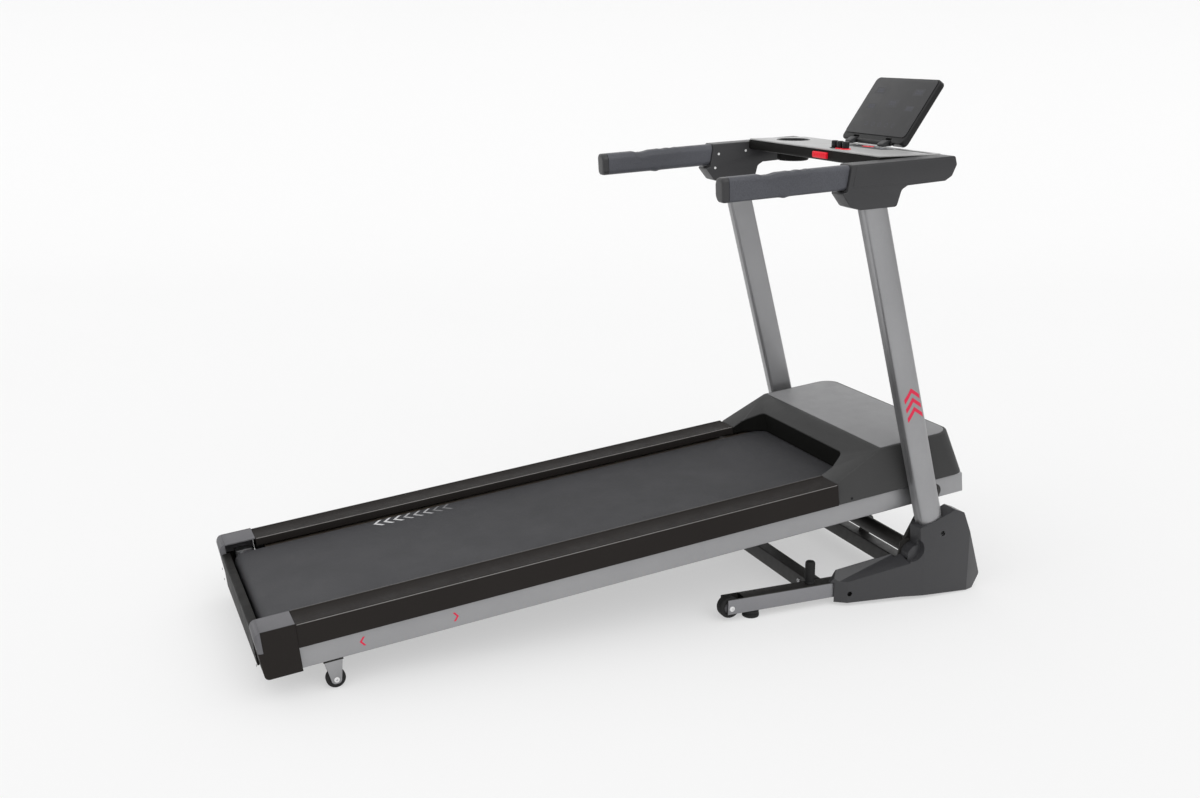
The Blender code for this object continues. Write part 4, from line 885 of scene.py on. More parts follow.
def make_rear_cover():
    line = round_corners([(-1.706, -0.0208), (-1.7012, -0.0208), (-1.7012, 0.0602), (-1.686, 0.0602),
                          (-1.686, 0.0638), (-1.706, 0.0638)], [0.0012, 0.0012, 0.003, 0.0012, 0.0016, 0.0055], 6)
    node = "rear_cover"
    seam = -0.135
    for name, low, high in (("main", seam + 0.0003, 0.2402), ("short", -0.2402, seam - 0.0003)):
        finish_piece(f"rear_cover_{name}", prism(line, "X", low, high), "black", node,
                     node if name == "main" else (), DECK)
    # A near-black shelf under the rear cover: painted shade under the cover.
    shelf = round_corners([(-1.7014, -0.0205), (-1.574, -0.0205), (-1.57, -0.0165), (-1.57, -0.011),
                           (-1.572, -0.011), (-1.573, -0.016), (-1.576, -0.0185), (-1.7014, -0.0185)], 0.0008, 3)
    finish_piece("rear_cover_shelf", prism(shelf, "X", -0.2395, 0.2395), "recess_shade", node, matrix=DECK)
    for i, x in enumerate((-0.2, -0.06, 0.06, 0.2)):
        bolt(f"rear_cover_screw_{i + 1}", (x, -1.7058, -0.012), (0, -1, 0), 0.0034, "dark_bolt", node, DECK, 0.2)


HOOD_LOW = 0.0302
SLOPE = ((RAIL_FRONT, RAIL_TOP), (HOOD_CREASE_U, HOOD_TOP_V))


def hood_level(inset, v, radius):
    """The hood's plan at height v, drawn in by inset; its front corners have the given radius."""
    rise = (v - HOOD_LOW) / (HOOD_TOP_V - HOOD_LOW)
    half = HOOD_BOTTOM_HALF + (HOOD_TOP_HALF - HOOD_BOTTOM_HALF) * rise - inset
    front = HOOD_FRONT_U + (HOOD_TOP_FRONT_U - HOOD_FRONT_U) * rise - inset
    rear = RAIL_FRONT + 0.0004
    line = round_corners([(-half, rear), (half, rear), (half, front), (-half, front)], [0, 0, radius, radius], 12)
    return [(x, u, v) for x, u in line]


def above_slope(drop):
    """All that is over the hood's sloping rear face, let down by drop."""
    (u0, v0), (u1, v1) = SLOPE
    return prism([(u0 - 0.05, v0 - 0.05 * (v1 - v0) / (u1 - u0) - drop), (u1, v1 - drop), (u1, 0.25),
                  (u0 - 0.05, 0.25)], "X", -0.4, 0.4)


def hood_solid(inset, top):
    low = HOOD_LOW - (0.02 if inset else 0.0)
    rings = [hood_level(inset, low, 0.03 - inset), hood_level(inset, top, 0.046 - inset)]
    return cut(loft(rings), above_slope(inset * 1.1))


def recess_plan(grow=0.0):
    return round_corners([(-RAIL_IN - grow, RAIL_FRONT - 0.03), (RAIL_IN + grow, RAIL_FRONT - 0.03),
                          (RAIL_IN + grow, -0.25), (0.206 + grow, RECESS_U + grow), (-0.206 - grow, RECESS_U + grow),
                          (-RAIL_IN - grow, -0.25)], [0, 0, 0.03, 0.03, 0.03, 0.03], 10)


def make_hood():
    node = "motor_hood"
    top = HOOD_TOP_V - 0.0008
    shell = bevelled(hood_solid(0.0, top), 0.0035, 4, 15)
    lid_half, lid_front, lid_rear = HOOD_TOP_HALF - 0.0065, HOOD_TOP_FRONT_U - 0.006, HOOD_CREASE_U + 0.0045

    def lid_plan(grow):
        return round_corners([(-lid_half - grow, lid_rear - grow), (lid_half + grow, lid_rear - grow),
                              (lid_half + grow, lid_front + grow), (-lid_half - grow, lid_front + grow)],
                             [0.003 + grow, 0.003 + grow, 0.041 + grow, 0.041 + grow], 12)

    shell = cut(shell, hood_solid(0.0032, top - 0.0045), prism(recess_plan(), "Z", 0.0, 0.3),
                prism(lid_plan(0.0011), "Z", top - 0.0016, 0.2))
    finish_piece("motor_hood_shell", shell, "hood", node, node, DECK, bevel=0.0009, steps=2, angle=60)
    lid = bevelled(prism(lid_plan(0.0), "Z", top - 0.0015, HOOD_TOP_V), 0.001, 3)
    finish_piece("motor_hood_lid", lid, "hood_lid", node, matrix=DECK)
    # The recess wall is near-black, darker than the hood: painted shade inside the belt recess.
    wall_low = 0.0662
    wall = cut(prism(recess_plan(0.0026), "Z", wall_low, 0.138),
               prism(recess_plan(), "Z", 0.0, 0.3),
               block((-0.4, -0.5, 0.0), (0.4, RAIL_FRONT + 0.0008, 0.3)),
               above_slope(0.0028))
    finish_piece("belt_recess_wall", wall, "recess_shade", node, matrix=DECK)
    lean = math.atan2(HOOD_FRONT_U - HOOD_TOP_FRONT_U, HOOD_TOP_V - HOOD_LOW)
    for side, sign in SIDES:
        bolt(f"hood_screw_{side}", (sign * 0.315, -0.245, 0.039), (sign, 0, 0.19), 0.0032, "dark_bolt", node, DECK,
             0.3)
    front = DECK @ Matrix.Translation((0, HOOD_FRONT_U - 0.004, HOOD_LOW + 0.0255)) @ Matrix.Rotation(lean, 4, "X")
    socket_line = round_corners([(-0.211, -0.01), (-0.189, -0.01), (-0.189, 0.006), (-0.193, 0.011),
                                 (-0.207, 0.011), (-0.211, 0.006)], 0.001, 3)
    frame_line = rectangle((-0.215, -0.015), (-0.185, 0.015), 0.003)
    inlet = cut(prism(frame_line, "Y", -0.003, 0.0022), prism(socket_line, "Y", -0.0015, 0.01))
    finish_piece("mains_inlet", inlet, "gloss_black", node, matrix=front, bevel=0.0004, steps=2)
    pins = joined(*[bevelled(block((x - 0.0011, -0.002, z - 0.0022), (x + 0.0011, 0.0012, z + 0.0022)), 0.0004, 2)
                    for x, z in ((-0.206, -0.003), (-0.194, -0.003), (-0.2, 0.004))])
    finish_piece("mains_inlet_pins", pins, "steel", node, matrix=front)
    collar = cut(prism(rectangle((-0.17, -0.013), (-0.148, 0.013), 0.002), "Y", -0.003, 0.0018),
                 prism(rectangle((-0.1675, -0.0105), (-0.1505, 0.0105), 0.001), "Y", -0.001, 0.01))
    finish_piece("power_switch_collar", collar, "gloss_black", node, matrix=front, bevel=0.0004, steps=2)
    rocker = prism([(-0.0008, -0.0101), (0.0012, -0.0101), (0.0022, -0.0085), (0.001, 0.0), (0.0036, 0.009),
                    (0.003, 0.0101), (-0.0008, 0.0101)], "X", -0.1671, -0.1509)
    finish_piece("power_switch_rocker", rocker, "red", node, matrix=front, bevel=0.0004, steps=2)
    # Vent slots are thin near-black patches on the hood front, not openings: painted shade of the slots.
    for i in range(9):
        slot = prism(rectangle((-0.09 + i * 0.022, -0.0035), (-0.076 + i * 0.022, -0.0012), 0.001, 4), "Y",
                     0.0002, 0.0012)
        finish_piece(f"hood_vent_{i + 1}", slot, "recess_shade", node, matrix=front, bevel=0.0003, steps=2)


make_rails()
make_rear_caps()
make_rear_cover()
make_hood()


# --- Base, its covers and the uprights ---
UPRIGHT = Matrix.Translation((0, UPRIGHT_Y0, 0)) @ Matrix.Rotation(UPRIGHT_LEAN, 4, "X")
UPRIGHT_BULGE = 0.019


def upright_face(y):
    """How far out the upright's bulging side is, at y across it."""
    sine = min(1.0, abs(y) / (UPRIGHT_DEPTH / 2)) ** (1 / 0.85)
    return UPRIGHT_OUT - 0.0004 - UPRIGHT_BULGE + UPRIGHT_BULGE * math.sqrt(max(0.0, 1 - sine * sine)) ** 0.7


def upright_section(grow=0.0):
    half = UPRIGHT_DEPTH / 2
    arc = []
    for i in range(-20, 21):
        y = half * math.sin(math.pi / 2 * i / 20)
        arc.append((upright_face(y) + grow, y * (half + grow) / half))
    x0, radius = UPRIGHT_IN - grow, 0.006
    corners = []
    for centre_y, start in ((half - radius, 90), (-half + radius, 180)):
        for i in range(7):
            turn = math.radians(start + 15 * i)
            corners.append((x0 + radius + radius * math.cos(turn),
                            centre_y + math.copysign(grow, centre_y) + radius * math.sin(turn)))
    return arc + corners


def upright_prism(grow, low, high):
    rings = [[UPRIGHT @ Vector((x, y, z / math.cos(UPRIGHT_LEAN))) for x, y in upright_section(grow)]
             for z in (low, high)]
    return loft(rings)


def make_uprights():
    for side, sign in SIDES:
        rings = []
        for grow, z in ((0.0, 0.0704), (0.0, 1.0446), (-0.0025, 1.0446), (-0.0025, 0.0704)):
            rings.append([UPRIGHT @ Vector((x, y, z / math.cos(UPRIGHT_LEAN))) for x, y in upright_section(grow)])
        node = f"upright_{side}"
        finish_piece(f"{node}_tube", mirror(loft(rings, cyclic=True), sign), "frame_grey", node, node, smooth=50)
        for i in range(3):
            tip = 0.576 - 0.0245 * i

            def place(a, b, rise, tip=tip):
                return UPRIGHT @ Vector((upright_face(b) + rise, b, tip - a))

            mark = strip_chevron(0.024, 0.0215, 0.012, place, 0.0003)
            finish_piece(f"{node}_mark_{i + 1}", mirror(mark, sign), "red_print", node)


def make_base():
    y0, y1 = 0.034 + SHIFT, 0.7 + SHIFT
    for side, sign in SIDES:
        node = f"base_tube_{side}"
        shell = cut(tube("Y", (0.277, y0, 0.019), (0.3166, y1, 0.059), 0.0035),
                    block((0.2791, y0 - 0.02, 0.0), (0.3146, 0.08 + SHIFT, 0.1)))
        plate_line = round_corners([(0.505, 0.0205), (0.69, 0.0205), (0.69, 0.056), (0.578, 0.148),
                                    (0.52, 0.148)], 0.012, 8)
        plate_line = shifted(plate_line)
        plate = cut(prism(plate_line, "X", 0.3162, 0.3203),
                    prism(circle((LIFT_Y + SHIFT, LIFT_Z), 0.0126), "X", 0.3, 0.33))
        shoe = bevelled(block((0.316, 0.5802 + SHIFT, 0.0232), (0.3662, 0.6798 + SHIFT, 0.0578)), 0.002)
        spigot = upright_prism(-0.0034, 0.045, 0.15)
        finish_piece(f"{node}_steel", mirror(joined(shell, plate, shoe, spigot), sign), "frame_black", node, node)
        panel = prism(rectangle((y0 + 0.0008, 0.0206), (y1 - 0.001, 0.0574), 0.0008, 2), "X", 0.316, 0.317)
        finish_piece(f"{node}_panel", mirror(panel, sign), "base_grey", node, bevel=0.0003, steps=2)
        axle_y, axle_z = 0.0455 + SHIFT, 0.0345
        bolt(f"castor_axle_head_{side}", (sign * 0.3166, axle_y, axle_z), (sign, 0, 0), 0.0068, "white_print", node,
             height=0.42)
        bolt(f"castor_axle_nut_{side}", (sign * 0.2772, axle_y, axle_z), (-sign, 0, 0), 0.0068, "zinc", node,
             height=0.5)
        # Near-black plugs set inside the tube ends: painted shade in the tube mouths.
        for end, ya, yb in (("rear", 0.0804 + SHIFT, 0.083 + SHIFT), ("front", y1 - 0.005, y1 - 0.0004)):
            plug = prism(rectangle((0.2793, 0.0213), (0.3143, 0.0567), 0.0015, 3), "Y", ya, yb)
            finish_piece(f"base_tube_plug_{end}_{side}", mirror(plug, sign), "recess_shade", node, bevel=0.0006, steps=2)
        make_pads_and_castor(side, sign)
        make_base_cover(side, sign)
    for name, (ya, yb) in (("rear_crossbar", (0.278, 0.316)), ("front_crossbar", (0.572, 0.61))):
        bar = tube("X", (-0.2766, ya + SHIFT, 0.019), (0.2766, yb + SHIFT, 0.059), 0.0035)
        if name == "front_crossbar":
            ear = round_corners([(0.585, 0.04), (0.635, 0.052), (0.635, 0.101), (0.605, 0.101)], 0.01, 6)
            bar = joined(bar, bevelled(prism(shifted(ear), "X", 0.0215, 0.0275), 0.001, 2))
        finish_piece(name + "_steel", bar, "frame_black", name, name)
        for side, sign in SIDES:
            for end, y in (("rear", ya - 0.0002), ("front", yb + 0.0002)):
                tip = y + SHIFT + (0.02 if end == "front" else -0.02)
                gusset = convex([(x, at, z) for x, at in ((0.2768, y + SHIFT), (0.256, y + SHIFT), (0.2768, tip))
                                 for z in (0.021, 0.024)])
                finish_piece(f"{name}_gusset_{end}_{side}", mirror(gusset, sign), "frame_black", name,
                             bevel=0.0006, steps=2)
    for side, sign in SIDES:
        bolt(f"crossbar_bolt_{side}", (sign * 0.235, 0.2776 + SHIFT, 0.042), (0, -1, 0), 0.006, "zinc",
             "rear_crossbar")


def make_pads_and_castor(side, sign):
    for end, y in (("rear", 0.107), ("front", 0.66)):
        foot = [(0.0, 0.0185), (0.0012, 0.0205), (0.003, 0.0212), (0.0078, 0.021), (0.0092, 0.0196),
                (0.0108, 0.0196), (0.012, 0.0204), (0.0175, 0.02), (0.0185, 0.0188)]
        node = f"foot_pad_{end}_{side}"
        finish_piece(node + "_rubber", lathe(foot, "Z", (sign * CASTOR_X, y + SHIFT, 0)), "rubber", node, node)
    post = [(0.0595, 0.0122), (0.061, 0.0125), (0.064, 0.0125), (0.0655, 0.0115), (0.068, 0.0115), (0.0695, 0.0125),
            (0.111, 0.0125), (0.115, 0.0118), (0.1174, 0.0098), (0.118, 0.007)]
    node = f"bumper_post_{side}"
    finish_piece(node + "_rubber", lathe(post, "Z", (sign * CASTOR_X, 0.272 + SHIFT, 0)), "rubber", node, node)
    node = f"transport_wheel_{side}"
    centre = (sign * CASTOR_X, CASTOR_Y, CASTOR_Z)
    tyre = symmetric([(-0.013, 0.017), (-0.0132, 0.0235), (-0.0118, 0.0257), (-0.009, 0.0268),
                      (-0.004, CASTOR_R)]) + [(0.0118, 0.016), (-0.0118, 0.016)]
    finish_piece(node + "_tyre", loft(lathe_rings(tyre, "X", centre), cyclic=True), "rubber", node, node)
    hub = symmetric([(-0.0165, 0.0045), (-0.0165, 0.007), (-0.012, 0.008), (-0.01, 0.0148), (-0.0118, 0.0158),
                     (-0.011, 0.0164)])
    finish_piece(node + "_hub", lathe(hub, "X", centre), "cap", node)


def make_base_cover(side, sign):
    knee = [(0.552 + 0.032 * math.cos(math.radians(turn)), 0.1085 + 0.032 * math.sin(math.radians(turn)))
            for turn in range(170, 92, -6)]
    line = round_corners(
        [(0.3185, 0.009), (0.3085, 0.042), (0.338, 0.0885), (0.5185, 0.1108), *knee, (0.5436, 0.1905),
         (0.585, 0.203), (0.645, 0.227), (0.672, 0.216), (0.746, 0.034), (0.718, 0.002), (0.5, 0.011)],
        [0.004, 0.006, 0.006, 0.002] + [0] * 13 + [0.005, 0.03, 0.008, 0.008, 0.008, 0.006, 0.02], 8)
    line = shifted(line)
    x_in, x_out = 0.3085, 0.3705

    def cutter(points, stations=(-0.05, 0.3)):
        return convex([(x, y + SHIFT, z) for z in stations for x, y in points])

    def facets(inset):
        chamfer = convex([(x, y + SHIFT, z) for x, y, z in (
            (0.3322 - inset, 0.3, 0.0547 - inset), (0.3686 - inset, 0.5215, 0.0972 - inset),
            (0.3105 - inset, 0.3, 0.083 - inset), (0.3105 - inset, 0.5215, 0.1129 - inset),
            (0.3105 - inset, 0.3, 0.2), (0.3105 - inset, 0.5215, 0.2),
            (0.42, 0.3, 0.0547 - inset), (0.42, 0.5215, 0.0972 - inset),
            (0.42, 0.3, 0.2), (0.42, 0.5215, 0.2))])
        scoop = prism(circle((0.5265 + SHIFT, 0.1335), 0.031 + inset, 96), "X", 0.352 - inset, 0.42)
        return [
            cutter(((0.329 - inset, 0.27), (x_out - inset, 0.56), (0.42, 0.56), (0.42, 0.27))),
            cutter(((0.3019 - inset, 0.3007 + inset), (0.3514 - inset, 0.3705 + inset), (0.42, 0.3705),
                    (0.42, 0.2), (0.3019 - inset, 0.2))),
            cutter(((x_out - inset, 0.694), (0.35 - inset, 0.748), (0.42, 0.748), (0.42, 0.694))),
            chamfer, scoop]

    solid = bevelled(cut(prism(line, "X", x_in, x_out), *facets(0.0)), 0.0024, 4, 20)
    hollow_line = [(0.356, -0.02), (0.356, 0.0865), (0.5225, 0.107), (0.5575, 0.135), (0.5485, 0.185),
                   (0.59, 0.1975), (0.655, 0.206), (0.69, 0.15), (0.725, 0.06), (0.712, -0.02)]
    hollow = cut(prism(shifted(hollow_line), "X", x_in + 0.004, x_out - 0.003), *facets(0.003))
    solid = cut(solid, block((0.2, 0.25 + SHIFT, -0.1), (0.3217, 0.8 + SHIFT, 0.0594)),
                block((0.2, 0.5 + SHIFT, -0.1), (0.3217, 0.8 + SHIFT, 0.4)), upright_prism(0.0012, 0.04, 0.5), hollow,
                prism(circle((0.6109 + SHIFT, 0.168), 0.0066, 28), "X", 0.3675, 0.4),
                prism(circle((0.362 + SHIFT, 0.033), 0.0064, 28), "X", 0.334, 0.4))
    node = f"base_cover_{side}"
    finish_piece(f"{node}_moulding", mirror(solid, sign), "cover", node, node, smooth=30)
    for name, x, y, z in (("upper", 0.3668, 0.6109, 0.168), ("lower", 0.3345, 0.362, 0.033)):
        bolt(f"{node}_{name}_screw", (sign * x, y + SHIFT, z), (sign, 0, 0), 0.004, "dark_bolt", node, height=0.3)
    # A near-black ring behind the lower screw hole: painted shade inside the hole.
    backing = lathe([(0.3322, 0.0118), (0.3326, 0.0124), (0.3338, 0.0124), (0.3342, 0.0118)], "X",
                    (0, 0.364 + SHIFT, 0.033), 32)
    finish_piece(f"{node}_hole_backing", mirror(backing, sign), "recess_shade", node)
    bolt(f"{node}_top_screw", (sign * 0.35, 0.648 + SHIFT, 0.2248), (0, 0.1, 1), 0.003, "zinc", node, height=0.3)


make_uprights()
make_base()


# --- Handlebars ---
def make_handlebars():
    grip = Matrix.Translation((0, GRIP_REAR, GRIP_Z)) @ Matrix.Rotation(GRIP_TILT, 4, "X")
    half = GRIP_HEIGHT / 2
    x0, x1 = GRIP_OUT - GRIP_WIDTH, GRIP_OUT

    def smooth(value):
        value = min(1.0, max(0.0, value))
        return value * value * (3 - 2 * value)

    def crest(y):
        """Height of the grip's top along it: a swell for the heel of the hand, then a hollow."""
        hollow = smooth((y - 0.092) / 0.014) * (1 - smooth((y - 0.12) / 0.026))
        ripple = 0.0007 * math.sin((y - 0.16) * 2 * math.pi / 0.028) if 0.16 < y < 0.23 else 0.0
        return half - 0.0036 * hollow + ripple * smooth((y - 0.16) / 0.01) * smooth((0.23 - y) / 0.01)

    def keel(y):
        return -half + 0.0005 - 0.0026 * math.exp(-((y - 0.156) / 0.009) ** 2)

    def section(y, draw=0.0):
        top, low = crest(y) - draw, keel(y) + draw
        line = round_corners([(x0 + draw, low), (x1 - draw, low), (x1 - draw, top), (x0 + draw, top)],
                             [0.016, 0.01, 0.01, 0.016], 8)
        return [(x, y, z) for x, z in line]

    for side, sign in SIDES:
        node = f"handlebar_{side}"
        seam, end = 0.016, 0.332
        stations = [seam + 0.0006 + (end - seam) * i / 110 for i in range(111)]
        rings = [section(seam + 0.0004, 0.001)] + [section(y) for y in stations]
        sleeve = loft(rings)
        sleeve.transform(grip)
        beyond = prism([(y + SHIFT, z) for y, z in ((0.29405, 1.109), (0.2806, 1.025), (0.42, 1.025),
                                                    (0.42, 1.109))], "X", 0.3, 0.4)
        sleeve = cut(sleeve, beyond)
        finish_piece(f"{node}_sleeve", mirror(sleeve, sign), "foam", node, node)
        draws = [(0.0002, 0.009), (0.0004, 0.0055), (0.0012, 0.003), (0.0028, 0.0012), (0.0052, 0.0003),
                 (0.008, 0.0), (seam - 0.0006, 0.0), (seam - 0.0001, 0.0008)]
        cap = loft([section(y, draw) for y, draw in draws])
        finish_piece(f"{node}_end", mirror(cap, sign), "armcap", node, matrix=grip)
        make_bracket_cover(side, sign)


def make_bracket_cover(side, sign):
    line = round_corners(
        [(0.2935, 1.0965), (0.2835, 1.036), (0.27, 1.033), (0.296, 1.0), (0.323, 0.993), (0.42, 0.997),
         (0.43, 1.036), (0.445, 1.045), (0.549, 1.052), (0.567, 1.063), (0.579, 1.089), (0.573, 1.109)],
        [0.003, 0.002, 0.004, 0.012, 0.01, 0.008, 0.012, 0.006, 0.008, 0.006, 0.006, 0.006], 8)
    line = shifted(line)
    skirt = convex([(x, y + SHIFT, z) for y in (0.2, 0.6) for x, z in (
        (0.3712, 1.044), (0.3668, 0.985), (0.42, 0.985), (0.42, 1.044))])
    solid = cut(prism(line, "X", ARMCAP_IN, ARMCAP_OUT - 0.001), skirt)
    solid = bevelled(solid, 0.0036, 4, 15)
    solid = cut(solid, upright_prism(0.0006, 0.9, 1.0456))
    node = f"bracket_cover_{side}"
    finish_piece(f"{node}_moulding", mirror(solid, sign), "armcap", node, node)
    panel = round_corners([(0.305, 1.0945), (0.297, 1.047), (0.44, 1.05), (0.547, 1.057), (0.563, 1.066),
                           (0.5725, 1.088), (0.569, 1.104)], [0.003, 0.003, 0.004, 0.006, 0.006, 0.006, 0.004], 6)
    panel = prism(shifted(panel), "X", 0.369, ARMCAP_OUT)
    finish_piece(f"{node}_panel", mirror(panel, sign), "armcap", node, bevel=0.001, steps=3)
    for i, (y, z) in enumerate(((0.308, 1.07), (0.3905, 1.077), (0.298, 1.033))):
        bolt(f"{node}_screw_{i + 1}", (sign * ARMCAP_IN, y + SHIFT, z), (-sign, 0, 0), 0.0034,
             "white_print", node, height=0.1)


make_handlebars()


# --- Console, keys and display ---
HOLE_LOW, HOLE_HIGH = 1.09, 1.13       # stations of what cuts the console's openings
DIGIT_STEP, DIGIT_LINE = 0.009, 0.0008


def make_console():
    half = 0.317
    low, high = 1.0802, CONSOLE_TOP - 0.0042
    side_line = round_corners([(CONSOLE_REAR, low), (CONSOLE_FRONT - 0.02, low - 0.012), (CONSOLE_FRONT, low + 0.004),
                               (CONSOLE_FRONT, high), (CONSOLE_REAR, high)], [0.009, 0.01, 0.006, 0.0, 0.001], 8)
    beam = prism(side_line, "X", -half, half)
    cup = [(1.0565, 0.034), (1.0555, 0.037), (1.057, 0.041), (1.061, 0.0428), (1.09, 0.043)]
    bore = [(1.059, 0.034), (1.061, 0.0385), (1.065, 0.04), (1.2, 0.04)]
    cup_place = (CUP_X, CUP_Y, 0)
    operations = [("UNION", lathe(cup, "Z", cup_place, 64)), ("DIFFERENCE", lathe(bore, "Z", cup_place, 64))]
    room = (0.0232, CONSOLE_REAR - 0.01, 1.0842), (0.0908, CONSOLE_REAR + 0.021, 1.1018)
    operations.append(("DIFFERENCE", block(*room)))
    round_keys = (("speed_key", 0.07), ("incline_key", 0.095), ("program_key", 0.12))
    key_y = 0.432 + SHIFT
    flat_keys = (("start_key", 0.02, "gloss_black"), ("stop_key", 0.07, "red"))

    def round_holes():
        return [prism(circle((x, key_y), 0.0092, 36), "Z", HOLE_LOW, HOLE_HIGH) for _, x in round_keys]

    def flat_holes():
        return [prism(rectangle((x - 0.0164, 0.5196 + SHIFT), (x + 0.0164, 0.5384 + SHIFT), 0.002), "Z",
                      HOLE_LOW, HOLE_HIGH) for _, x, _ in flat_keys]

    node = "console_housing"
    housing = with_booleans(beam, operations + [("DIFFERENCE", hole) for hole in round_holes() + flat_holes()])
    finish_piece("console_housing_moulding", housing, "black", node, node, smooth=30)
    plan = round_corners([(-half, CONSOLE_REAR + 0.0004), (half, CONSOLE_REAR + 0.0004),
                          (half, CONSOLE_FRONT - 0.0004), (-half, CONSOLE_FRONT - 0.0004)],
                         [0.006, 0.006, 0.01, 0.01], 8)
    well = rectangle((0.15, 0.5435 + SHIFT), (0.305, 0.5595 + SHIFT), 0.004)
    top = bevelled(prism(plan, "Z", high + 0.0004, CONSOLE_TOP), 0.0014, 4)
    top = cut(top, prism(circle((CUP_X, CUP_Y), 0.0432, 96), "Z", HOLE_LOW, HOLE_HIGH), *round_holes(), *flat_holes(),
              prism(well, "Z", CONSOLE_TOP - 0.0022, HOLE_HIGH))
    finish_piece("console_top_panel", top, "silver", "console_top", "console_top", smooth=30)
    # A near-black strip at the bottom of the top panel's well: painted shade in the slot.
    finish_piece("console_slot", prism(rectangle((0.1504, 0.5439 + SHIFT), (0.3046, 0.5591 + SHIFT), 0.0036), "Z",
                                       CONSOLE_TOP - 0.0022, CONSOLE_TOP - 0.0014), "recess_shade", "console_top")
    rim = [(1.09, 0.0403), (1.09, 0.0426), (1.1085, 0.0428), (1.11, 0.0446), (1.1108, 0.045),
           (1.1114, 0.044), (1.1112, 0.042), (1.11, 0.0408), (1.108, 0.0403)]
    finish_piece("cup_rim", loft(lathe_rings(rim, "Z", cup_place, 72), cyclic=True), "gloss_black", node)
    mat = [(1.0608, 0.038), (1.0618, 0.0382), (1.0622, 0.0374), (1.0618, 0.03), (1.0622, 0.029),
           (1.0618, 0.021), (1.0622, 0.02), (1.0618, 0.01)]
    finish_piece("cup_mat", lathe(mat, "Z", cup_place, 48), "rubber", node)
    key_panel = round_corners([(-0.012, 0.503), (0.168, 0.503), (0.168, 0.542), (-0.012, 0.542)], 0.006, 6)
    key_panel = prism([(x, y + SHIFT) for x, y in key_panel], "Z", CONSOLE_TOP - 0.0002, CONSOLE_TOP + 0.0008)
    key_panel = cut(key_panel, *flat_holes())
    finish_piece("key_panel", key_panel, "panel", node, bevel=0.0003, steps=2)
    for i, (x, y) in enumerate(((0.1, 0.522), (0.12, 0.522), (0.14, 0.522), (0.11, 0.535), (0.13, 0.535),
                                (0.15, 0.535))):
        dome = [(1.1106, 0.0036), (1.1114, 0.0036), (1.1118, 0.003), (1.112, 0.0016)]
        finish_piece(f"key_dot_{i + 1}", lathe(dome, "Z", (x, y + SHIFT, 0), 28), "icon_pale", node)
    for name, x in round_keys:
        collar = [(1.1098, 0.0094), (1.1098, 0.0128), (1.111, 0.0128), (1.1122, 0.0118), (1.1124, 0.01),
                  (1.112, 0.0094)]
        finish_piece(name + "_collar", loft(lathe_rings(collar, "Z", (x, key_y, 0), 48), cyclic=True),
                     "gloss_black" if name == "speed_key" else "red", node)
        knob = [(1.0992, 0.007), (1.0992, 0.0084), (1.1146, 0.0084), (1.1152, 0.0087), (1.1268, 0.0087),
                (1.1284, 0.0081), (1.129, 0.0069), (1.129, 0.0056), (1.1284, 0.005)]
        finish_piece(name + "_knob", lathe(knob, "Z", (x, key_y, 0), 48), "gloss_black", name, name)
        mark = [(1.1284, 0.0044), (1.1288, 0.0046), (1.129, 0.004)]
        finish_piece(name + "_cap", lathe(mark, "Z", (x, key_y, 0), 32), "cap", name)
    for name, x, material in flat_keys:
        key = bevelled(prism(rectangle((x - 0.0158, 0.5202 + SHIFT), (x + 0.0158, 0.5378 + SHIFT), 0.0016), "Z",
                             1.0952, 1.112), 0.0008, 3)
        finish_piece(name + "_cap", key, material, name, name)
        sign_line = ([(x - 0.0022, 0.526), (x + 0.0032, 0.529), (x - 0.0022, 0.532)] if name == "start_key" else
                     [(x - 0.0025, 0.5265), (x + 0.0025, 0.5265), (x + 0.0025, 0.5315), (x - 0.0025, 0.5315)])
        sign_mark = prism([(a, b + SHIFT) for a, b in sign_line], "Z", 1.1116, 1.1122)
        finish_piece(name + "_sign", sign_mark, "white_print", name, bevel=0.0001, steps=1)
    key = bevelled(prism(rectangle((0.0242, 1.0852), (0.0898, 1.1008), 0.0035), "Y", CONSOLE_REAR - 0.006,
                         CONSOLE_REAR + 0.0198), 0.0022, 4)
    finish_piece("safety_key_grip", key, "red", "safety_key", "safety_key")
    ridge_places = [0.037 + 0.01 * i for i in range(5)]
    ridges = joined(*[bevelled(block((x - 0.001, CONSOLE_REAR - 0.0064, 1.088),
                                     (x + 0.001, CONSOLE_REAR - 0.0052, 1.098)), 0.0005, 2)
                      for x in ridge_places])
    finish_piece("safety_key_ridges", ridges, "red", "safety_key")


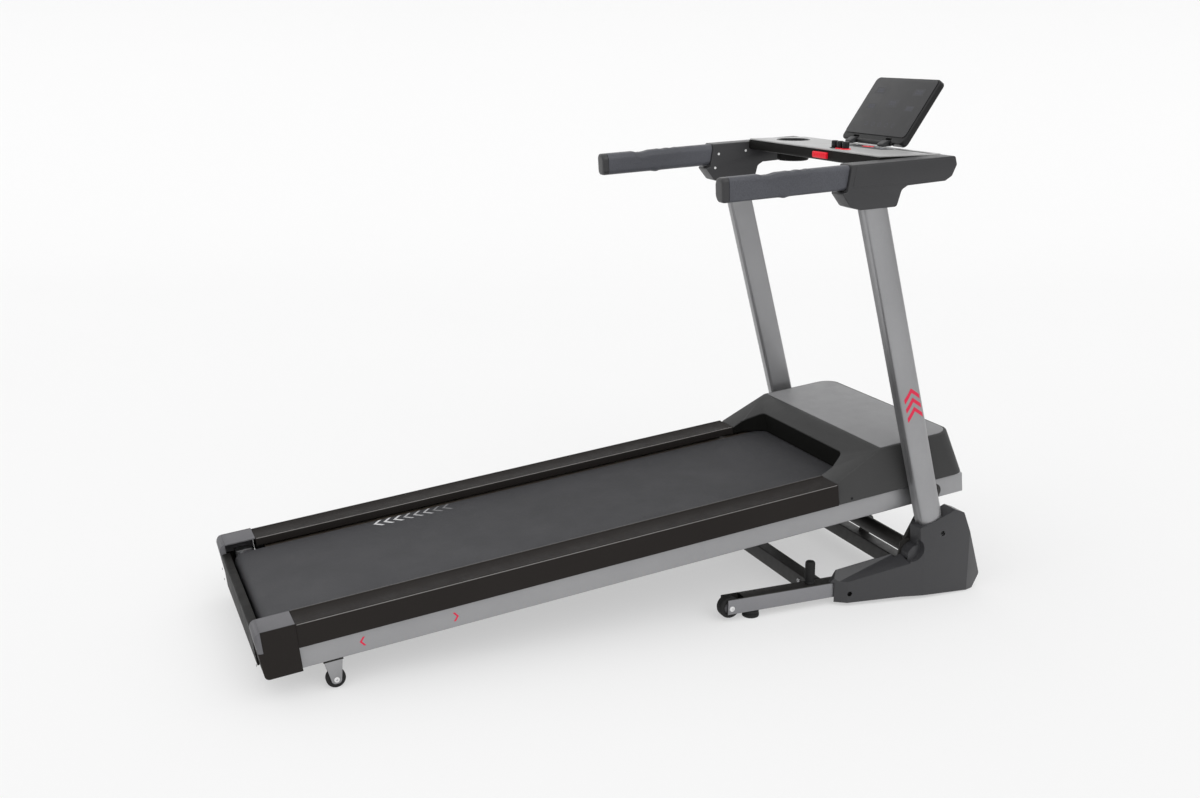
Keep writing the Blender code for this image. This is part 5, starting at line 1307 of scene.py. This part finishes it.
def make_display():
    for side, sign in SIDES:
        y, z, top = DISPLAY_AXIS.y, DISPLAY_AXIS.z, CONSOLE_TOP + 0.0004
        line = round_corners([(y - 0.036, top), (y + 0.004, top), (y + 0.009, z + 0.002), (y + 0.003, z + 0.009),
                              (y - 0.008, z + 0.009)], [0.004, 0.003, 0.004, 0.004, 0.01], 8)
        mount = cut(prism(line, "X", *span(sign, 0.0622, 0.0858)),
                    prism(circle((y, z), 0.0044, 28), "X", *span(sign, 0.05, 0.1)))
        node = f"display_mount_{side}"
        finish_piece(node + "_moulding", mount, "armcap", node, node, bevel=0.0014, steps=3, angle=50)
    outline = rectangle((-DISPLAY_HALF, 0.0), (DISPLAY_HALF, DISPLAY_TALL), 0.014, 10)
    notches = [("DIFFERENCE", block((sign * 0.074 - 0.0128, -0.05, -0.02), (sign * 0.074 + 0.0128, 0.05, 0.0135)))
               for sign in (1, -1)]
    shell = bevelled(prism(outline, "Y", -0.0044, 0.0139), 0.0034, 4, 50)
    turned = [prism(circle((0.0, 0.0), 0.007, 40), "X", -0.06, 0.06),
              prism(circle((0.0, 0.0), 0.0039, 28), "X", -0.098, 0.098)]
    bridge = bevelled(block((-0.058, -0.0038, 0.0), (0.058, 0.0078, 0.02)), 0.001, 2)
    vents = []
    for i in range(13):
        slot = rectangle((-0.066 + i * 0.011, 0.06), (-0.063 + i * 0.011, 0.085), 0.0014, 4)
        vents.append(("DIFFERENCE", prism(slot, "Y", 0.012, 0.03)))
    shell = with_booleans(shell, notches + [("UNION", bridge)] + [("UNION", one) for one in turned] + vents)
    node = "display_housing"
    finish_piece("display_housing_moulding", shell, "bezel", node, node, DISPLAY, smooth=30)
    back = bevelled(prism(rectangle((-0.1, 0.038), (0.1, 0.15), 0.01, 8), "Y", 0.013, 0.0152), 0.0016, 3)
    back = cut(back, prism(rectangle((-0.072, 0.054), (0.076, 0.091), 0.004), "Y", 0.0, 0.03))
    finish_piece("display_back_panel", back, "armcap", node, matrix=DISPLAY)
    for i, (x, z) in enumerate(((-0.12, 0.03), (0.12, 0.03), (-0.12, 0.165), (0.12, 0.165))):
        bolt(f"display_back_screw_{i + 1}", (x, 0.0134, z), (0, 1, 0), 0.003, "dark_bolt", node, DISPLAY, 0.3)
    face_line = rectangle((-DISPLAY_HALF + 0.0045, 0.018), (DISPLAY_HALF - 0.0045, DISPLAY_TALL - 0.0045), 0.0105, 10)
    face = prism(face_line, "Y", -0.0065, -0.005)
    finish_piece("display_face", face, "overlay", "display_lens", "display_lens", DISPLAY, bevel=0.0006)

    def tile(name, line, material="icon_print"):
        finish_piece(name, prism(line, "Y", -0.0066, -0.0064), material, "display_lens", matrix=DISPLAY)

    def window(name, x, z, wide, tall):
        line = [(x - wide / 2, z - tall / 2), (x + wide / 2, z - tall / 2), (x + wide / 2, z + tall / 2),
                (x - wide / 2, z + tall / 2)]
        tile(name, line, "window")

    windows = ((-0.085, 0.148, 0.044, 0.02), (0.085, 0.148, 0.044, 0.02), (0.0, 0.112, 0.052, 0.024),
               (-0.085, 0.1, 0.036, 0.016), (0.085, 0.1, 0.036, 0.016))
    for i, (x, z, wide, tall) in enumerate(windows):
        window(f"display_window_{i + 1}", x, z, wide, tall)
        for k in range(3):
            left = x - 0.012 + DIGIT_STEP * k
            right, middle = x - 0.006 + DIGIT_STEP * k, x - 0.009 + DIGIT_STEP * k
            digit = round_corners([(left, z - 0.005), (right, z - 0.005), (right, z + 0.005), (left, z + 0.005)],
                                  0.0012, 3)
            hole = [(a + math.copysign(DIGIT_LINE, middle - a), b + math.copysign(DIGIT_LINE, z - b))
                    for a, b in digit]
            outline = cut(prism(digit, "Y", -0.0067, -0.0065), prism(hole, "Y", -0.02, 0.0))
            finish_piece(f"display_digit_{i + 1}_{k + 1}", outline, "icon_print", "display_lens", matrix=DISPLAY)
    for i in range(5):
        x = -0.06 + 0.03 * i
        ring = [(-0.0066, 0.0052), (-0.0066, 0.0058), (-0.0064, 0.0058), (-0.0064, 0.0052)]
        finish_piece(f"display_touch_mark_{i + 1}", loft(lathe_rings(ring, "Y", (x, 0, 0.048), 40), cyclic=True),
                     "icon_print", "display_lens", matrix=DISPLAY)


# --- Lift frame, yoke, lift motor and damper ---
LIFT = Matrix.Translation((0, LIFT_Y + SHIFT, LIFT_Z))
LIFT_REACH = (FOLD_Y - LIFT_Y, FOLD_Z - LIFT_Z)
THREAD_PITCH = 0.0046
MOTOR_PIVOT = 0.06                   # lift motor's pivot above the fold bolt, on the deck


def two_wheels(first, first_radius, second, second_radius, steps=18):
    return wheel_loop(Vector(first), first_radius, Vector(second), second_radius, steps, 1)


def make_lift():
    node = "lift_frame"
    tube_line = symmetric([(-0.32, 0.0095), (-0.319, 0.0119), (-0.3125, 0.0119), (-0.312, 0.015), (-0.3055, 0.019)])
    finish_piece("lift_cross_tube", lathe(tube_line, "X", (0, 0, 0)), "frame_black", node, node, LIFT)
    for side, sign in SIDES:
        arm = prism(two_wheels((0.0, 0.0), 0.024, LIFT_REACH, 0.018), "X", 0.3057, 0.3133)
        finish_piece(f"lift_arm_{side}", mirror(arm, sign), "frame_black", node, matrix=LIFT, bevel=0.0012, steps=3,
                     angle=50)
        pin = [(0.264, 0.0068), (0.2648, 0.0079), (0.3062, 0.0079), (0.3065, 0.007)]
        finish_piece(f"fold_pin_{side}", mirror(lathe(pin, "X", (0, *LIFT_REACH), 28), sign), "steel", node,
                     matrix=LIFT)
        for name, (y, z), radius in (("fold", LIFT_REACH, 0.0105), ("brace", (0.034, 0.067), 0.006)):
            bolt(f"lift_arm_{name}_bolt_{side}", (sign * 0.3131, y, z), (sign, 0, 0), radius, "dark_bolt", node,
                 LIFT, 0.3)
        washer = [(0.3128, 0.009), (0.3128, 0.0136), (0.3137, 0.0136), (0.3139, 0.0132), (0.3139, 0.009)]
        finish_piece(f"lift_arm_washer_{side}", mirror(loft(lathe_rings(washer, "X", (0, *LIFT_REACH), 32),
                                                            cyclic=True), sign), "frame_black", node, matrix=LIFT)


def make_yoke():
    node = "lift_yoke"
    pieces = []
    for sign in (1, -1):
        line = [(0.035, 0.0174), (0.2706, 0.0174), (0.2716, 0.0168), (0.2716, 0.0085), (0.25, 0.0084)]
        pieces.append(mirror(lathe(line, "X", (0, 0, 0)), sign))
    cheek = round_corners([(-0.016, -0.017), (0.042, -0.017), (0.042, 0.075), (-0.016, 0.075)],
                          [0.012, 0.006, 0.006, 0.012], 8)
    for sign in (1, -1):
        plate = cut(prism(cheek, "X", 0.033, 0.038), prism(circle((0, 0.06), 0.0064, 28), "X", 0.02, 0.05))
        pieces.append(mirror(bevelled(plate, 0.0007, 2, 50), sign))
    pieces.append(bevelled(block((-0.0376, 0.0372, -0.0158), (0.0376, 0.0418, 0.0698)), 0.001, 2))
    lever = round_corners([(-0.046, -0.05), (0.014, -0.018), (0.01, 0.01), (-0.012, 0.012)],
                          [0.01, 0.004, 0.004, 0.004], 8)
    lever = cut(prism(lever, "X", -0.108, -0.102), prism(circle(DAMPER_FOOT, 0.0054, 24), "X", -0.12, -0.09))
    pieces.append(bevelled(lever, 0.0007, 2, 50))
    finish_piece("lift_yoke_steel", joined(*pieces), "frame_black", node, node, DECK)


def make_lift_motor():
    pivot = Vector((FOLD_Y - MOTOR_PIVOT * math.sin(DECK_PITCH), FOLD_Z + MOTOR_PIVOT * math.cos(DECK_PITCH)))
    foot = Vector((FOLD_Y, 0.085))
    stroke = (foot - pivot).length
    lean = math.atan2(foot.x - pivot.x, pivot.y - foot.y)
    axis = Matrix.Translation((0, pivot.x + SHIFT, pivot.y)) @ Matrix.Rotation(lean, 4, "X")
    node = "lift_motor"
    can = [(0.0285, 0.023), (0.04, 0.023), (0.042, 0.027), (0.044, 0.0288), (0.05, 0.0288), (0.051, 0.028),
           (0.118, 0.028), (0.119, 0.0288), (0.124, 0.0288), (0.128, 0.0275), (0.1298, 0.024), (0.1298, 0.01)]
    finish_piece("lift_motor_can", lathe(can, "X", (0, 0, 0)), "motor", node, node, axis)
    gearbox = bevelled(block((-0.0258, -0.0258, -0.0298), (0.03, 0.0258, 0.0298)), 0.004, 4)
    pin = prism(circle((0, 0), 0.0059, 28), "X", -0.0425, 0.0425)
    sleeve = lathe([(-0.1348, 0.0128), (-0.1348, 0.015), (-0.133, 0.0164), (-0.12, 0.0164), (-0.119, 0.0156),
                    (0.003, 0.0156), (0.0044, 0.0148), (0.0046, 0.004)], "Z", (0, 0, 0))

    def bore():
        return lathe([(-0.145, 0.0127), (0.02, 0.0127)], "Z", (0, 0, 0), 36)

    finish_piece("lift_motor_gearbox", cut(gearbox, bore()), "motor", node, matrix=axis)
    finish_piece("lift_motor_pin", pin, "steel", node, matrix=axis, bevel=0.0008, steps=2)
    finish_piece("lift_motor_sleeve", cut(sleeve, bore()), "frame_black", node, matrix=axis)
    for i, (y, z) in enumerate(((-0.018, -0.022), (0.018, -0.022), (-0.018, 0.022), (0.018, 0.022))):
        bolt(f"gearbox_screw_{i + 1}", (-0.0256, y, z), (-1, 0, 0), 0.0032, "zinc", node, axis, 0.4)
    node = "lift_screw"
    thread = [(-stroke + 0.003, 0.01)]
    z = -stroke + 0.014
    while z < -stroke + 0.116:
        thread += [(z, 0.0098), (z + 0.001, 0.0119), (z + 0.0024, 0.0119), (z + 0.0034, 0.0098)]
        z += THREAD_PITCH
    thread += [(-stroke + 0.119, 0.0098), (-stroke + 0.1198, 0.0088)]
    finish_piece("lift_screw_thread", lathe(thread, "Z", (0, 0, 0), 40), "steel", node, node, axis)
    eye = symmetric([(-0.0119, 0.0135), (-0.011, 0.0148)])
    finish_piece("lift_screw_eye", lathe(eye, "X", (0, 0, -stroke)), "steel", node, matrix=axis)
    stub = [(0.01, 0.0058), (0.0205, 0.0058), (0.0208, 0.0052)]
    finish_piece("lift_screw_stub", lathe(stub, "X", (0, 0, -stroke), 24), "steel", node, matrix=axis)


DAMPER_FOOT, DAMPER_HEAD, DAMPER_X = (-0.03, -0.034), (-0.42, -0.012), -0.12


def make_damper():
    run = Vector(DAMPER_HEAD) - Vector(DAMPER_FOOT)
    slope = math.atan2(-run.y, -run.x)
    axis = DECK @ Matrix.Translation((0, *DAMPER_FOOT)) @ Matrix.Rotation(slope, 4, "X")
    node = "damper_cylinder"
    barrel = [(-0.2508, 0.0055), (-0.2508, 0.008), (-0.2495, 0.0089), (-0.243, 0.0089), (-0.242, 0.0084),
              (-0.026, 0.0084), (-0.025, 0.0089), (-0.018, 0.0089), (-0.0165, 0.0078), (-0.0162, 0.0049),
              (-0.006, 0.0049)]
    barrel = cut(lathe(barrel, "Y", (DAMPER_X, 0, 0), 40),
                 lathe([(-0.28, 0.0053), (-0.056, 0.0053)], "Y", (DAMPER_X, 0, 0), 28))
    finish_piece("damper_barrel", barrel, "motor", node, node, axis)
    eye = symmetric([(-0.0079, 0.007), (-0.0072, 0.0079)])
    finish_piece("damper_foot_eye", lathe(eye, "X", (DAMPER_X, 0, 0), 32), "motor", node, matrix=axis)
    stub = [(0.005, 0.0049), (0.0213, 0.0049), (0.0218, 0.0043)]
    finish_piece("damper_foot_pin", lathe(stub, "X", (DAMPER_X, 0, 0), 24), "steel", node, matrix=axis)
    node = "damper_rod"
    length = run.length
    rod = [(-length + 0.004, 0.0047), (-length + 0.214, 0.0047), (-length + 0.215, 0.004)]
    finish_piece("damper_rod_steel", lathe(rod, "Y", (DAMPER_X, 0, 0), 28), "steel", node, node, axis)
    finish_piece("damper_head_eye", lathe(eye, "X", (DAMPER_X, -length, 0), 32), "motor", node, matrix=axis)
    stub = [(0.004, 0.0044), (0.0165, 0.0044), (0.017, 0.0038)]
    finish_piece("damper_head_pin", lathe(stub, "X", (DAMPER_X, -length, 0), 24), "steel", node, matrix=axis)


make_console()
make_display()
make_lift()
make_yoke()
make_lift_motor()
make_damper()


# --- Floor, light and camera ---
SWEEP_START, SWEEP_RADIUS, STAGE_HALF = 4.5, 2.0, 11.0
FLOOR_GAP = 0.0003                   # the floor is this far under the pads
CAMERA_PLACE = (3.0215, -1.4095 + SHIFT, 1.3702)
CAMERA_YAW, CAMERA_DOWN = math.radians(67.72), math.radians(14.819)
CAMERA_LENS, CAMERA_SENSOR = 40.72, 36.0       # millimetres


def make_stage():
    floor = bpy.data.meshes.new("floor")
    bm = bmesh.new()
    sweep = [math.radians(a) for a in range(6, 91, 6)]
    line = [(-9.0, 0.0), (SWEEP_START, 0.0)]
    line += [(SWEEP_START + SWEEP_RADIUS * math.sin(a), SWEEP_RADIUS - SWEEP_RADIUS * math.cos(a)) for a in sweep]
    line.append((SWEEP_START + SWEEP_RADIUS, 7.0))
    turn = Matrix.Rotation(CAMERA_YAW, 3, "Z")
    rings = [[turn @ Vector((x, y, z - FLOOR_GAP)) for y, z in line] for x in (-STAGE_HALF, STAGE_HALF)]
    rows = [[bm.verts.new(p) for p in ring] for ring in rings]
    for i in range(len(line) - 1):
        bm.faces.new((rows[0][i], rows[1][i], rows[1][i + 1], rows[0][i + 1]))
    bmesh.ops.recalc_face_normals(bm, faces=bm.faces)
    bm.to_mesh(floor)
    bm.free()
    floor.shade_smooth()
    floor.materials.append(make_floor_surface())
    obj = bpy.data.objects.new("floor", floor)
    bpy.context.scene.collection.objects.link(obj)


AMBIENT = 0.42
BACKDROP = 0.955                     # what the camera sees past the floor's far edges
# Each soft light: the way to it, how tight it is, and its strength.
SOFT_LIGHTS = (((0.0, 0.0, 1.0), 1.0, 0.62), ((0.8, 0.1, 0.6), 14.0, 2.1), ((0.25, -0.8, 0.55), 8.0, 0.8))


def make_world():
    """A white studio: brighter overhead, with a broad soft light on the camera's right and one behind."""
    world = bpy.data.worlds.new("studio")
    world.use_nodes = True
    tree = world.node_tree
    direction = tree.nodes.new("ShaderNodeTexCoord").outputs["Generated"]
    total = None
    for toward, spread, strength in SOFT_LIGHTS:
        dot = tree.nodes.new("ShaderNodeVectorMath")
        dot.operation = "DOT_PRODUCT"
        tree.links.new(direction, dot.inputs[0])
        dot.inputs[1].default_value = Vector(toward).normalized()
        value = dot.outputs["Value"]
        for operation, number in (("MAXIMUM", 0.0), ("POWER", spread), ("MULTIPLY", strength),
                                  ("ADD", AMBIENT if total is None else 0.0)):
            step = tree.nodes.new("ShaderNodeMath")
            step.operation = operation
            tree.links.new(value, step.inputs[0])
            step.inputs[1].default_value = number
            value = step.outputs["Value"]
        if total is not None:
            joint = tree.nodes.new("ShaderNodeMath")
            joint.operation = "ADD"
            tree.links.new(total, joint.inputs[0])
            tree.links.new(value, joint.inputs[1])
            value = joint.outputs["Value"]
        total = value
    # Past the floor's far edges the studio shows as pale as the floor, and still lights the same.
    seen = tree.nodes.new("ShaderNodeLightPath").outputs["Is Camera Ray"]
    backdrop = tree.nodes.new("ShaderNodeMix")
    backdrop.data_type = "FLOAT"
    tree.links.new(seen, backdrop.inputs[0])
    tree.links.new(total, backdrop.inputs[2])
    backdrop.inputs[3].default_value = BACKDROP
    background = tree.nodes["Background"]
    background.inputs["Color"].default_value = (1.0, 1.0, 1.0, 1.0)
    tree.links.new(backdrop.outputs[0], background.inputs["Strength"])
    bpy.context.scene.world = world


def make_camera():
    data = bpy.data.cameras.new("camera")
    data.lens, data.sensor_width = CAMERA_LENS, CAMERA_SENSOR
    camera = bpy.data.objects.new("camera", data)
    flat = math.cos(CAMERA_DOWN)
    look = Vector((-math.sin(CAMERA_YAW) * flat, math.cos(CAMERA_YAW) * flat, -math.sin(CAMERA_DOWN)))
    camera.location = CAMERA_PLACE
    camera.rotation_euler = look.to_track_quat("-Z", "Y").to_euler()
    bpy.context.scene.collection.objects.link(camera)
    bpy.context.scene.camera = camera


make_stage()
make_world()
make_camera()
view = bpy.context.scene.view_settings
view.view_transform = "Standard"
view.look = "None"
view.exposure = 0.0
